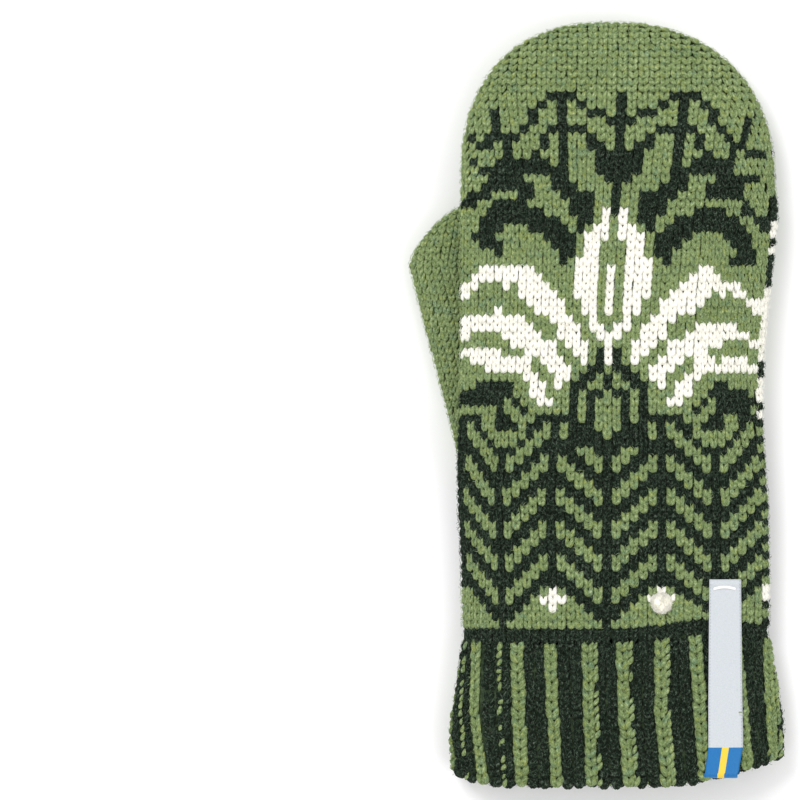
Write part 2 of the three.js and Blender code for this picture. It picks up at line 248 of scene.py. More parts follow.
def wool(name, own, light, dark, contrast=0.9, relief=0.0003, tints=(), sheen=0.25):
    finish = Finish(name, {**WOOL, "Sheen Tint": light, "Sheen Weight": sheen})
    fibres = streaks(finish)
    fleck = finish.noise(FLECK_SIZE, 3, 0.65)
    both = fibres * 0.6 + fleck * 0.4
    soft = {"interpolation_type": "SMOOTHSTEP"}
    for scale, tint in tints:
        share = finish.node("ShaderNodeMapRange", soft, {0: finish.noise(scale, 3, 0.6), 1: 0.52, 2: 0.68, 3: 0.0, 4: 0.8})
        own = finish.mix(share, own, tint)
    lighter = finish.node("ShaderNodeMapRange", soft, {0: both, 1: 0.5, 2: 0.66, 3: 0.0, 4: contrast})
    darker = finish.node("ShaderNodeMapRange", soft, {0: both, 1: 0.5, 2: 0.36, 3: 0.0, 4: contrast})
    finish.set("Base Color", finish.mix(darker, finish.mix(lighter, own, light), dark))
    finish.set("Normal", finish.bump(fibres + fleck * 0.5, relief))
    return finish.material


def fuzz_finish(name, own):
    """Loose fibres are too thin to show more than one tone each."""
    return Finish(name, {**WOOL, "Base Color": own, "Sheen Tint": own}).material


KNOT_PAINTED_GLOW = 0.6              # painted light: the knot glows so that its shaded side stays pale, standing in for the light that loose wool lets through
GREEN_TINTS = [(420, srgb(138, 148, 74)), (300, srgb(104, 132, 104))]
wools = {
    "green": wool("green_wool", srgb(123, 141, 92), srgb(184, 198, 150), srgb(58, 78, 40), tints=GREEN_TINTS),
    # The rib's green is the same yarn as the hand's, darkened a little: painted shade for the darker gaps between the
    # cuff's ridges.
    "rib": wool("shaded_rib_wool", srgb(113, 131, 84), srgb(172, 187, 138), srgb(50, 68, 34), tints=GREEN_TINTS),
    "dark": wool("dark_wool", srgb(22, 33, 23), srgb(96, 110, 94), srgb(4, 8, 5), 1.0, 0.0005, (), 0.1),
    "white": wool("white_wool", srgb(250, 248, 238), srgb(255, 255, 250), srgb(206, 200, 178), 0.6),
    "green_fuzz": fuzz_finish("green_fuzz", srgb(158, 176, 126)),
    "dark_fuzz": fuzz_finish("dark_fuzz", srgb(72, 88, 72)),
    "white_fuzz": fuzz_finish("white_fuzz", srgb(250, 248, 238)),
    "knot": wool("knot_wool", srgb(252, 249, 240), srgb(255, 255, 250), srgb(222, 214, 196), 0.8),
    # Painted shade: a green darker than the yarn, seen only in the gaps between the stitches of the crown and thumb.
    "green_shade": wool("green_shade_wool", srgb(70, 88, 52), srgb(96, 114, 74), srgb(40, 54, 28)),
    # The dark backing tone: partly the dark far side of the fabric, partly painted shade in the gaps between stitches.
    "shade": wool("shaded_wool", srgb(46, 58, 40), srgb(70, 84, 60), srgb(22, 28, 18)),
}
# Painted light: the knot's finish glows, so that its shaded side stays pale.
painted_glow = wools["knot"].node_tree.nodes["Principled BSDF"].inputs
painted_glow["Emission Color"].default_value, painted_glow["Emission Strength"].default_value = srgb(250, 246, 234), KNOT_PAINTED_GLOW
print("finishes:", ", ".join(wools))

# %% [markdown]
# The stitches need places on the knitting's surface. Rather than reading them off a coarse mesh,
# the same few sections that shape the mitten are worked out again here, in millimetres. The
# frame's own boxes give the lengths and the thickness.

# %% Sizes from the frame


def box_mm(node):
    low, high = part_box(node)
    return np.array(low) / MM, np.array(high) / MM


cuff_low, cuff_high = box_mm("cuff")
band_low, band_high = box_mm("wrist_band")
hand_low, hand_high = box_mm("hand")
crown_low, crown_high = box_mm("crown")
thumb_low, thumb_high = box_mm("thumb")
label_low, label_high = box_mm("label")
HEM_Y, BAND_Y, WRIST_Y = cuff_low[1], band_low[1] - 0.15, band_high[1] + 0.15
CROWN_Y, TIP_Y = crown_low[1] - 0.15, crown_high[1]
THICKNESS = hand_high[2]
print("hem, band, wrist, crown, tip at", *(round(float(y), 1) for y in (HEM_Y, BAND_Y, WRIST_Y, CROWN_Y, TIP_Y)))

# %% [markdown]
# A section is one slice across the mitten: its two side edges, its thickness and the height of
# its fold. Two curves join the folds, one over the back of the hand and one under the palm. All
# of it works on whole arrays, so a thousand places cost no more code than one.

# %% Sections of hand, cuff and thumb
HAND_TABLE = {
    "along": [0.00, 0.15, 0.29, 0.44, 0.62, 0.80, 0.93, 1.00],
    "left": [1.00, 1.01, 1.03, 1.03, 1.01, 1.01, 1.01, 1.01],
    "right": [1.00, 1.00, 0.99, 0.96, 0.97, 1.02, 1.055, 1.035],
    "thick": [0.80, 0.86, 0.94, 1.00, 1.00, 0.97, 0.94, 0.92],
}
CUFF_TABLE = {
    "along": [0.00, 0.28, 0.47, 0.67, 1.00],
    "left": [1.00, 1.01, 1.00, 0.98, 0.95],
    "right": [1.04, 1.04, 1.02, 1.00, 0.95],
    "thick": [1.00, 1.00, 0.98, 0.95, 0.92],
}
ARCH_Y = 78.5                 # where the rounded end of the hand starts
HALF_HAND = 55.5
CUFF_EASE = 0.96              # the dressed rib is pulled in a little from the plain walls
HALF_CUFF = 61.0 * CUFF_EASE
LEFT_EASE = 0.987
THUMB_WIDTH, THUMB_HIGH, THUMB_LONG, THUMB_END = 37.0, 12.5, 84.0, 23.0
THUMB_X, THUMB_Y, THUMB_LEAN, ROOT_SLANT, TENT = -33.5, -36.0, 22.0, 22.0, 14.0
ARCH_LEFT, ARCH_RIGHT = 2.4, 2.24   # how square the rounded end is on each side
THUMB_SLOPE = 1.45            # the thumb's outer side runs to its tip nearly straight
FOLD_SHARE = 0.42             # height of the side folds, as a share of the thickness
PALM_FLAT = 0.72              # share of the palm that lies flat on the floor
CUFF_THICK = 21.0
RIB_DEPTH = 1.4


def reading(table, column, along):
    """A smooth curve through the rows of a table."""
    at, value = np.array(table["along"]), np.array(table[column])
    rows = np.arange(len(at))
    after, before = np.minimum(rows + 1, len(at) - 1), np.maximum(rows - 1, 0)
    slope = (value[after] - value[before]) / (at[after] - at[before])
    along = np.clip(along, 0, 1)
    to = np.clip(np.searchsorted(at, along), 1, len(at) - 1)
    step = at[to] - at[to - 1]
    t = (along - at[to - 1]) / step
    near = (1 + 2 * t) * (1 - t) ** 2 * value[to - 1] + t * (1 - t) ** 2 * step * slope[to - 1]
    return near + t * t * (3 - 2 * t) * value[to] + t * t * (t - 1) * step * slope[to]


def smooth(t):
    t = np.clip(t, 0, 1)
    return t * t * (3 - 2 * t)


def root(value, power):
    return np.maximum(0, value) ** (1 / power)


def thumb_span(y):
    """Side edges of the thumb and how far its end has thinned at y."""
    middle = THUMB_X - THUMB_LEAN * np.minimum(1, (y - THUMB_Y) / THUMB_LONG)
    end = np.clip((y - THUMB_Y - THUMB_LONG) / THUMB_END, 0, 1)
    arch = root(1 - end ** 1.8, 1.8)
    slope = root(1 - end ** THUMB_SLOPE, THUMB_SLOPE)
    apex = middle + 0.1 * THUMB_WIDTH
    left = apex + (middle - THUMB_WIDTH / 2 - apex) * slope
    right = apex + (middle + THUMB_WIDTH / 2 - apex) * arch
    return left, right, root(1 - end ** 3, 2)


def lift(x, y):
    """How high the thumb under it raises the palm."""
    inner = thumb_span(np.minimum(y, THUMB_Y + THUMB_LONG))[1]
    across = smooth((inner + TENT - x) / (TENT + 2))
    along = smooth((y - THUMB_Y) / ROOT_SLANT)
    past = smooth((y - THUMB_Y - THUMB_LONG - THUMB_END) / (2 * TENT))
    return (THUMB_HIGH + 0.4) * across * along * (1 - past)


def flat_floor(x, y):
    return 0 * x


def hand_section(y):
    along = (y - WRIST_Y) / (ARCH_Y - WRIST_Y)
    end = np.clip((y - ARCH_Y) / (TIP_Y - ARCH_Y), 0, 1)
    apex = -0.024 * HALF_HAND
    left = apex - (HALF_HAND * LEFT_EASE * reading(HAND_TABLE, "left", along) + apex) * root(1 - end ** ARCH_LEFT, ARCH_LEFT)
    right = apex + (HALF_HAND * reading(HAND_TABLE, "right", along) - apex) * root(1 - end ** ARCH_RIGHT, ARCH_RIGHT)
    return left, right, THICKNESS * reading(HAND_TABLE, "thick", along), root(1 - end ** 4, 2), lift


def cuff_section(y):
    along = (y - HEM_Y) / (BAND_Y - HEM_Y)
    left = -HALF_CUFF * reading(CUFF_TABLE, "left", along)
    right = HALF_CUFF * reading(CUFF_TABLE, "right", along)
    return left, right, CUFF_THICK * reading(CUFF_TABLE, "thick", along), 1.0, flat_floor


def thumb_section(y):
    left, right, thin = thumb_span(y)
    return left, right, THUMB_HIGH, thin, flat_floor


def fold_height(section, x, y):
    raised = section[4](x, y)
    return raised + (section[2] - raised) * FOLD_SHARE


def surface(section_of, x, y, upper):
    """Height of a section's upper or lower side."""
    section = section_of(y)
    left, right, thick, thin, raised = section
    middle, half = (left + right) / 2, np.maximum(1e-6, (right - left) / 2)
    share = np.minimum(1, np.abs(x - middle) / half)
    fold = fold_height(section, np.where(x < middle, left, right), y)
    if upper:
        return fold + (thick - fold) * root(1 - share ** 3, 2) * thin
    curl = np.maximum(0, share - PALM_FLAT) / (1 - PALM_FLAT)
    return fold + (raised(x, y) - fold) * root(1 - curl ** 2, 2) * thin


print("the back of the hand is", round(float(surface(hand_section, 0.0, 0.0, True)), 1), "mm high")

# %% [markdown]
# Knitting is columns of stitches, called wales, and rows of them, called courses. Each side of
# the mitten has a fixed number of wales from its middle line to its fold, evenly spaced along
# the curved surface. So the wales follow the hand as it widens, as real ones do.

# %% Where the stitches lie
SAMPLES = 301
COURSES = 65                  # rows of the patterned hand
WALES = 19                    # from the middle of one side to its fold
COURSE = (CROWN_Y - WRIST_Y) / COURSES
CROWN_COURSE = 2.4
FOLD_SHOWS = 2.6              # how much of the palm's edge rolls up over the right fold
THUMB_WALES = 7
THUMB_COURSE = 2.4
THUMB_ROWS = int(THUMB_LONG / THUMB_COURSE)


def middle_of_back(y):
    """The front's middle wale stands straight on the wrist and leans to the right further up."""
    return np.interp(y, [-86, 0, 36, 63, 81, 108, 136], [-3.2, -2.9, -2.3, -0.7, 0.9, 2.2, 3.0])


def middle_of_palm(y):
    return 0 * y


def thumb_middle(y):
    left, right, _ = thumb_span(y)
    return (left + right) / 2


def profile(section_of, y, upper):
    """Points across one side, left to right, and the way run along them."""
    left, right = section_of(y)[:2]
    turn = np.linspace(0, math.pi, SAMPLES)
    x = (left + right) / 2 - (right - left) / 2 * np.cos(turn)
    z = surface(section_of, x, y + 0 * x, upper)
    return x, z, np.concatenate([[0], np.cumsum(np.hypot(np.diff(x), np.diff(z)))])


def no_ease(wales, y):
    return wales


def hand_ease(wales, y):
    """The knitting slackens towards the crown, so its wales spread there."""
    return wales * np.interp((y - WRIST_Y) / COURSE, [50, 65], [1.0, 1.2])


def back_ease(wales, y):
    """The front is pulled a little to the left low down, and rolls over the right fold higher up."""
    course, a = (y - WRIST_Y) / COURSE, np.abs(wales)
    left = np.interp(a, [0, 6, 12, 18], [0, 0.66, 0.95, 0]) * np.interp(course, [20, 34], [1, 0])
    right = -0.22 * np.maximum(0, a - 10) * np.interp(course, [20, 30, 50, 60, 65], [0, 1, 0.9, 0.7, 0])
    return hand_ease(np.sign(wales) * (a + np.where(wales < 0, left, right)), y)


def row_points(section_of, middle, y, wales, upper, count, widest, ease):
    """Places of these wales at y, and how far each is inside the fold, both in millimetres."""
    x, z, run = profile(section_of, y, upper)
    start = np.interp(middle(y), x, run)
    turned = ease(wales, y) if upper else -ease(wales, y)
    even = np.where(turned > 0, run[-1] - start, start) / count
    reach = start + turned * np.where(y > widest, steady_pitch(section_of, middle, y, turned, upper, count, widest), even)
    inside = np.minimum(reach, run[-1] - reach)
    return risen(np.stack([np.interp(reach, run, x), y + 0 * reach, np.interp(reach, run, z)], 1)), inside


def steady_pitch(section_of, middle, y, turned, upper, count, widest):
    """Past the widest place the wales keep their spacing and run off over the fold."""
    x, z, run = profile(section_of, widest, upper)
    start = np.interp(middle(widest), x, run)
    return np.where(turned > 0, run[-1] - start, start) / count


def course_heights(section_of, start, end, step, upper):
    """Rows evenly spaced along a side that curves down to its tip."""
    y = np.linspace(start, end, 400)
    z = surface(section_of, (section_of(y)[0] + section_of(y)[1]) / 2, y, upper)
    run = np.concatenate([[0], np.cumsum(np.hypot(np.diff(y), np.diff(z)))])
    rows = int(run[-1] / step)
    return np.interp((np.arange(rows) + 0.5) * run[-1] / rows, run, y)


def unit(v):
    return v / np.maximum(1e-9, np.linalg.norm(v, axis=1, keepdims=True))


BAND_RISE, RISE_X, RISE_WIDE = 3.4, 34.0, 20.0
RISE_FROM, RISE_LONG = -64.0, 18.0


def rise(x):
    """The cloth is pulled up a little where the ribbon is sewn on, and its rows with it."""
    return BAND_RISE * np.exp(-((x - RISE_X) / RISE_WIDE) ** 2)


def risen(places):
    places[:, 1] += rise(places[:, 0]) * smooth((RISE_FROM - places[:, 1]) / RISE_LONG)
    return places


def lay_rows(section_of, middle, ys, reach, upper, count, widest, length, ease=no_ease):
    """Stitches of one side: place, direction across, direction out, width, length, wale, course."""
    made = []
    wales = np.arange(-reach, reach + 1).astype(float)
    for row, y in enumerate(ys):
        low, high = y - 0.2, y + 0.2
        here, inside = row_points(section_of, middle, y, wales, upper, count, widest, ease)
        after, _ = row_points(section_of, middle, y, wales + 0.5, upper, count, widest, ease)
        before, _ = row_points(section_of, middle, y, wales - 0.5, upper, count, widest, ease)
        above, _ = row_points(section_of, middle, high, wales, upper, count, widest, ease)
        below, _ = row_points(section_of, middle, low, wales, upper, count, widest, ease)
        across, along = after - before, above - below
        out = unit(np.cross(across, along))
        widths = np.linalg.norm(across, axis=1, keepdims=True)
        widths = np.clip(widths, 0.8 * widths.max(), None)
        keep = inside > 0.42 * widths[:, 0]
        flat = np.ones((len(wales), 1))
        whole = [here, unit(across), out, widths, flat * length, wales[:, None], flat * row]
        made.append(np.concatenate(whole, 1)[keep])
    return np.concatenate(made)


def lay_edge(section_of, start, end, step, right, width):
    """One wale of stitches that runs up along a fold."""
    turn = np.linspace(0, math.pi / 2, 1200)
    y = start + (end - start) * np.sin(turn)
    x = section_of(y)[1 if right else 0]
    z = fold_height(section_of(y), x, y)
    line = risen(np.stack([x, y, z], 1))
    run = np.concatenate([[0], np.cumsum(np.linalg.norm(np.diff(line, axis=0), axis=1))])
    rows = int(run[-1] / step)

    def at(distance):
        return np.stack([np.interp(distance, run, line[:, i]) for i in range(3)], 1)

    where = (np.arange(rows) + 0.5) * run[-1] / rows
    along = unit(at(where + step / 2) - at(where - step / 2))
    up = np.array([[0, 0, 1.0]])
    out = unit(np.cross(along, up) if right else np.cross(up, along))
    across = unit(np.cross(along, out))
    flat = np.ones((rows, 1))
    return np.concatenate([at(where), across, out, flat * width, flat * step, flat * 0, np.arange(rows)[:, None]], 1)


hand_rows = WRIST_Y + (np.arange(COURSES) + 0.5) * COURSE
crown_rows = course_heights(hand_section, CROWN_Y, TIP_Y - 0.3, CROWN_COURSE, True)
back = lay_rows(hand_section, middle_of_back, hand_rows, WALES + 3, True, WALES, ARCH_Y, COURSE, back_ease)
palm = lay_rows(hand_section, middle_of_palm, hand_rows, WALES - 1, False, WALES, ARCH_Y, COURSE, hand_ease)
crown_back = lay_rows(hand_section, middle_of_back, crown_rows, WALES - 1, True, WALES, ARCH_Y, CROWN_COURSE,
                      back_ease)
crown_palm = lay_rows(hand_section, middle_of_palm, crown_rows, WALES - 1, False, WALES, ARCH_Y, CROWN_COURSE,
                      hand_ease)
rolled = (back[:, 0] > hand_section(back[:, 1])[1] - FOLD_SHOWS) & (back[:, 1] < ARCH_Y)
back = back[~rolled]
print(len(back), "stitches on the back,", len(palm), "on the palm,", len(crown_back) + len(crown_palm), "on the crown")

# %% [markdown]
# The thumb's wales lean with it. Where the hand lies on the thumb, neither shows, so stitches
# that face each other there are dropped. The same goes for palm stitches inside the thumb.

# %% Thumb and folds
thumb_tip_y = THUMB_Y + THUMB_LONG + THUMB_END
thumb_rows = np.concatenate([
    THUMB_Y + (np.arange(THUMB_ROWS) + 0.5) * THUMB_LONG / THUMB_ROWS,
    course_heights(thumb_section, THUMB_Y + THUMB_LONG, thumb_tip_y - 0.2, THUMB_COURSE, True),
])
widest_thumb = THUMB_Y + THUMB_LONG
thumb_top = lay_rows(thumb_section, thumb_middle, thumb_rows, THUMB_WALES - 1, True, THUMB_WALES, widest_thumb, THUMB_COURSE)
thumb_sole = lay_rows(thumb_section, thumb_middle, thumb_rows, THUMB_WALES - 1, False, THUMB_WALES, widest_thumb, THUMB_COURSE)


ROLL_IN, ROLL_TILT = 1.3, 1.0


def outside_hand(stitches, margin):
    """Stitches that stick out beyond the hand's left edge, or lie that near to it."""
    return stitches[stitches[:, 0] < hand_section(stitches[:, 1])[0] + margin]


def clear_of_root(stitches):
    """The thumb comes out of a slanted slit in the palm; below it there is no thumb yet."""
    return stitches[stitches[:, 1] > THUMB_Y + 1 + ROOT_SLANT * stitches[:, 2] / THUMB_HIGH]


def clear_of_thumb(stitches):
    left, right, _ = thumb_span(stitches[:, 1])
    beside = (stitches[:, 0] < left + 5) | (stitches[:, 0] > right - 3)
    beyond = (stitches[:, 1] < THUMB_Y + 2) | (stitches[:, 1] > thumb_tip_y - 4)
    return stitches[beside | beyond]


thumb_fold = THUMB_WIDTH / 2 / THUMB_WALES * 1.12
thumb_edges = np.concatenate([
    lay_edge(thumb_section, THUMB_Y, thumb_tip_y, THUMB_COURSE, False, thumb_fold),
    clear_of_root(lay_edge(thumb_section, THUMB_Y, thumb_tip_y, THUMB_COURSE, True, thumb_fold)),
])
thumb = np.concatenate([
    clear_of_root(outside_hand(thumb_top, 12)), clear_of_root(thumb_sole), clear_of_root(thumb_edges),
])
palm = clear_of_thumb(palm)
hand_pitch = float(np.median(back[:, 9]))
left_edge = lay_edge(hand_section, WRIST_Y, TIP_Y, COURSE, False, hand_pitch)
right_edge = lay_edge(hand_section, WRIST_Y, TIP_Y, COURSE, True, hand_pitch)


def rolled_up(edge):
    """The right fold's stitches, turned up so that they face the sky as well as the side."""
    low = edge[edge[:, 1] < ARCH_Y].copy()
    low[:, 0] = hand_section(low[:, 1])[1] - ROLL_IN
    low[:, 2] = surface(hand_section, low[:, 0], low[:, 1], True)
    low[:, 6:9] = unit(np.array([[ROLL_TILT, 0, 1.0]]))
    low[:, 3:6] = unit(np.cross(np.array([[0, 1.0, 0]]), low[:, 6:9]))
    return np.concatenate([low, edge])


right_edge = rolled_up(right_edge)
print(len(thumb), "stitches on the thumb,", len(left_edge) + len(right_edge), "along the hand's folds")

# %% [markdown]
# Colourwork is drawn on a chart first: a square of squared paper for each stitch. A leaf is
# described here by its lower and upper edge at a few wales, and a stalk by a line. The left half
# mirrors the right, so a wale is looked up by how far it is from the middle. A stitch takes the
# yarn of the last shape that its middle lies in.

# %% The chart: herringbone ground, lily and leaves
GREEN, DARK, CREAM = 0, 1, 2
LEAVES = [
    # Each row: a wale, then the leaf's lower and upper edge there, in courses.
    (DARK, [(0, 22, 31), (1, 22, 33.5), (2, 22, 32), (3, 22, 31), (4, 22, 30)]),
    (GREEN, [(0, 22.6, 29), (1, 24.4, 27.9)]),
    (GREEN, [(3, 25.2, 29)]),
    (GREEN, [(1, 29.5, 30.8), (2, 28.9, 29.9)]),
    (GREEN, [(0, 31, 32.2)]),
    (DARK, [(10, 25.8, 26.6), (11, 27, 28.2), (12, 27.8, 29.6), (13, 26.5, 30.3), (16, 26.6, 30.1), (18, 27, 28.6)]),
    (CREAM, [(7, 26.9, 28), (8, 26.9, 29.6), (9, 28.2, 31.2), (10, 29.6, 32)]),
    (CREAM, [(10, 31, 32.9), (12, 31.2, 33.3), (13, 31.3, 33.3), (14, 31.3, 34.4), (16, 31.7, 34.2), (18, 32.6, 33.7)]),
    (CREAM, [(5, 29.6, 32), (6, 28.7, 33), (7, 31.1, 34.9), (9, 32.7, 35.8), (11, 33.6, 37.5), (13, 35.4, 38.4),
             (14, 36.5, 38.5), (17, 36.5, 37.6), (18, 35.5, 37.5)]),
    (CREAM, [(3, 32, 35), (5, 34, 38), (7, 36.9, 41), (10, 39.2, 43.8), (11, 40.5, 44.2), (12, 42.4, 44.2),
             (13, 41.2, 43.9), (14, 42.4, 43.6), (16, 42.4, 43.5), (18, 40.3, 42.2)]),
    (CREAM, [(1, 46.6, 50.8), (2, 36.4, 49.4), (3, 38.1, 48.4), (4, 40, 44.9)]),
    (CREAM, [(1, 35.2, 37.3), (2, 36.4, 38)]),
    (CREAM, [(0, 32.2, 36.2)]),
    (CREAM, [(0, 38.2, 44.3)]),
    (DARK, [(5, 45.1, 48.4), (6, 44.2, 49.4), (7, 46, 50.2), (8, 47.2, 50.4), (10, 48.2, 51), (12, 49.2, 52),
            (14, 48, 51.8), (15, 45.6, 50.6), (16, 46, 50.3), (17, 46.7, 48.4)]),
    (DARK, [(14, 45.3, 46.5)]),
    (DARK, [(3, 49.3, 52.5), (4, 48.4, 53.2), (5, 50.4, 54.2), (6, 52.4, 55.8), (8, 54.6, 56.8), (10, 55.2, 57.3),
            (11, 53, 57.2), (12, 52.6, 56.8), (14, 53.5, 56.4), (15, 52.6, 54)]),
    (DARK, [(10, 52.5, 53.6), (11, 52.5, 54)]),
    (DARK, [(15, 52.4, 53.6), (18, 50.9, 52.2)]),
    (DARK, [(0, 50.3, 65.3)]),
    (DARK, [(1, 54, 58), (2, 55, 57.3)]),
]
STALKS = [
    # Dark lines one stitch thick, over the dark leaves.
    [(0, 61), (1, 61.1), (2, 62.1), (3, 62.9), (4, 63.8), (5, 64.5), (6.4, 64.5), (7.6, 63.7), (9.6, 61.2), (11.3, 59.2)],
    [(2, 57.9), (3, 59.1), (3.9, 60), (5, 60.8)],
    [(7.3, 60.3), (8.1, 59), (8.9, 57.6)],
    [(6, 56.8), (6, 64.5)],
    [(12, 56), (12.3, 58.3), (12.6, 60), (12.9, 62.4)],
    [(12.8, 59.6), (14.6, 58.7), (16.4, 59.4)],
    [(13.8, 55.4), (15, 55.8), (16.6, 57)],
]
STALK_HALF = 0.53
EYE_MIDDLE, EYE_RING, EYE_PUPIL = (12.3, 24.9), (2.9, 2.7), (1.4, 1.3)
CHEVRON_SPAN = 12             # wales from one spine of the herringbone to the next
CHEVRON_RISE = 4              # courses from one stripe to the next
GROUND_END = 26               # course where the herringbone gives way to plain green
CREAM_CROSS = (6, 3)


def on_stalk(a, c, points):
    """Whether each stitch lies on a line through these points that is one stitch thick."""
    on_it = np.zeros(np.broadcast(a, c).shape, dtype=bool)
    for (x0, y0), (x1, y1) in zip(points, points[1:]):
        dx, dy = x1 - x0, y1 - y0
        t = np.clip(((a - x0) * dx + (c - y0) * dy) / (dx * dx + dy * dy), 0, 1)
        half = STALK_HALF * max(abs(dx), abs(dy)) / math.hypot(dx, dy)
        on_it |= np.hypot(a - x0 - t * dx, c - y0 - t * dy) <= half
    return on_it


def in_leaf(a, c, rows):
    wale, low, high = np.array(rows).T
    return (a >= wale[0]) & (a <= wale[-1]) & (c >= np.interp(a, wale, low)) & (c <= np.interp(a, wale, high))


def in_ellipse(a, c, middle, radii):
    return ((a - middle[0]) / radii[0]) ** 2 + ((c - middle[1]) / radii[1]) ** 2 <= 1


def herringbone(a, j):
    """Dark spines, with stripes that slope down from them."""
    d = np.minimum(a % CHEVRON_SPAN, CHEVRON_SPAN - a % CHEVRON_SPAN)
    stripe = (j - d) % CHEVRON_RISE >= 2
    spine = (d == 0) | (d == CHEVRON_SPAN / 2)
    return np.where(stripe & ~spine, GREEN, DARK)


def chart(wale, course):
    """The yarn of each stitch on the back of the hand."""
    a, j = np.minimum(np.abs(wale), 18), course
    droop = np.interp(wale, [10, 13, 18], [0, 1.5, 2.7]) * np.interp(j, [24, 31, 38, 50, 58, 65], [0, 0.5, 1, 1, 0.6, 0.2])
    c = j + 0.5 + droop
    yarn = np.where(c < GROUND_END, herringbone(a, j), GREEN)
    foot = np.minimum(np.abs(a - 6), np.abs(a - 18)) <= 5.6 - 0.95 * (j + 0.5)
    yarn = np.where(foot & (j < 5) & (a % CHEVRON_SPAN != 0), GREEN, yarn)
    cross = np.abs(a - CREAM_CROSS[0]) + np.abs(j - CREAM_CROSS[1]) <= 1
    yarn = np.where(cross | (wale >= 18) & (np.abs(j - CREAM_CROSS[1]) <= 1), CREAM, yarn)
    yarn = np.where(in_ellipse(a, c, EYE_MIDDLE, EYE_RING), GREEN, yarn)
    yarn = np.where(in_ellipse(a, c, EYE_MIDDLE, EYE_PUPIL), DARK, yarn)
    for colour, rows in LEAVES:
        yarn = np.where(in_leaf(a, c, rows), colour, yarn)
    for points in STALKS:
        yarn = np.where(on_stalk(a, c, points), DARK, yarn)
    return yarn


def palm_chart(wale, course):
    """The palm isn't in the photograph: small seeds, as such mittens often have."""
    seed = ((wale % 4 == 0) & (course % 4 == 0)) | ((wale % 4 == 2) & (course % 4 == 2))
    ground = np.where(course < 26, DARK, GREEN)
    figure = np.where(course < 26, GREEN, np.where(course < 46, CREAM, DARK))
    return np.where(seed, figure, ground)


def between(value, low, high):
    return (value >= low) & (value < high)


def edge_chart(course):
    """What shows of the palm's colours along the right fold."""
    j, odd = course, course % 2 == 1
    cream = between(j, 3, 5) | between(j, 27, 41) | between(j, 47, 49) | (between(j, 24, 27) | between(j, 45, 47)) & odd
    dark = between(j, 49, 52) | between(j, 41, 45) | between(j, 30, 32) | between(j, 24, 27) | between(j, 45, 47)
    seeds = (j < 24) & ~odd | between(j, 52, 60) & (j % 3 == 0)
    return np.where(cream & ~between(j, 30, 32), CREAM, np.where(dark | seeds, DARK, GREEN))


back_yarn = chart(back[:, 11], back[:, 12])
palm_yarn = palm_chart(palm[:, 11], palm[:, 12])
for name, yarn in (("green", GREEN), ("dark", DARK), ("white", CREAM)):
    print(name, int((back_yarn == yarn).sum()), "stitches on the back")

# %% [markdown]
# The cuff is a rib. Its green wales stand up as ridges and two dark ones lie between each pair.
# The ridges wander a little in the photograph, so each has its own place at the top, middle and
# bottom of the cuff. The hem follows them in a soft wave and rises towards both folds.

# %% The ribbed cuff
RIDGES = np.array([            # x of each green ridge in mm: at the band, half way, at the hem
    [-50.2, -51.0, -47.8], [-35.4, -34.7, -33.7], [-23.5, -22.5, -21.1], [-9.9, -9.5, -8.3],
    [2.6, 3.1, 5.1], [16.4, 16.4, 18.7], [28.9, 30.3, 32.6], [43.0, 45.6, 47.6], [55.4, 56.2, 57.6],
])
RIDGES_ROUND = 18             # on both sides together
PER_RIDGE = 3                 # a green wale and two dark ones
CUFF_ROWS = 15
CUFF_COURSE = 3.45
HEM_DIP = 0.9
HEM_LIFT = 0.7                # the last row of stitches bulges past the plain hem
BEADS = [-1.2, 1.75, 9.65, 12.62, 15.55, 24.65]   # thin lines of green between ridges, in wales


def hem_line(x):
    """The hem's y across the cuff: it rises towards both folds."""
    share = x / HALF_CUFF
    right = np.maximum(0, (share - 0.3) / 0.7) ** 1.6 * 10
    left = np.maximum(0, (-share - 0.7) / 0.3) ** 2 * 5
    return HEM_Y + HEM_LIFT + right + left


def slice_round(section_of, y):
    """A closed slice: over the front from left to right and back below, with the way run."""
    x, z, front = profile(section_of, y, True)
    low_x, low_z, _ = profile(section_of, y, False)
    x, z = np.concatenate([x, low_x[-2::-1]]), np.concatenate([z, low_z[-2::-1]])
    return x, z, np.concatenate([[0], np.cumsum(np.hypot(np.diff(x), np.diff(z)))]), front


def wale_runs(down, x, run, front):
    """How far round the slice each ridge lies: as listed in front, evenly spaced below."""
    levels = np.array([np.interp(down, [0, 0.5, 1], row) for row in RIDGES])
    seen = np.interp(levels, x[:len(front)], run[:len(front)])
    hidden = np.linspace(seen[-1], seen[0] + run[-1], RIDGES_ROUND - len(RIDGES) + 2)[1:]
    return np.concatenate([seen, hidden])


def cuff_places(wales, down):
    """Places and outward directions of these wales at one level of the cuff."""
    level = BAND_Y + (HEM_Y - BAND_Y) * down
    x, z, run, front = slice_round(cuff_section, level)
    ridges = wale_runs(down, x, run, front)
    whole = PER_RIDGE * RIDGES_ROUND
    at = np.interp((wales % whole) / PER_RIDGE, np.arange(RIDGES_ROUND + 1), ridges)

    def on_slice(distance):
        turned = distance % run[-1]
        return np.stack([np.interp(turned, run, x), 0 * turned, np.interp(turned, run, z)], 1)

    here = on_slice(at)
    across = unit(on_slice(at + 0.3) - on_slice(at - 0.3))
    out = unit(np.cross(across, np.array([[0.0, 1.0, 0.0]])))
    between = np.sin(math.pi * wales / PER_RIDGE) ** 2
    here -= out * (RIB_DEPTH * (1 - np.abs(np.cos(math.pi * wales / PER_RIDGE)) ** 0.8))[:, None]
    top = BAND_Y + rise(here[:, 0])
    here[:, 1] = top + (hem_line(here[:, 0]) - HEM_DIP * between - top) * down
    return here, out, at


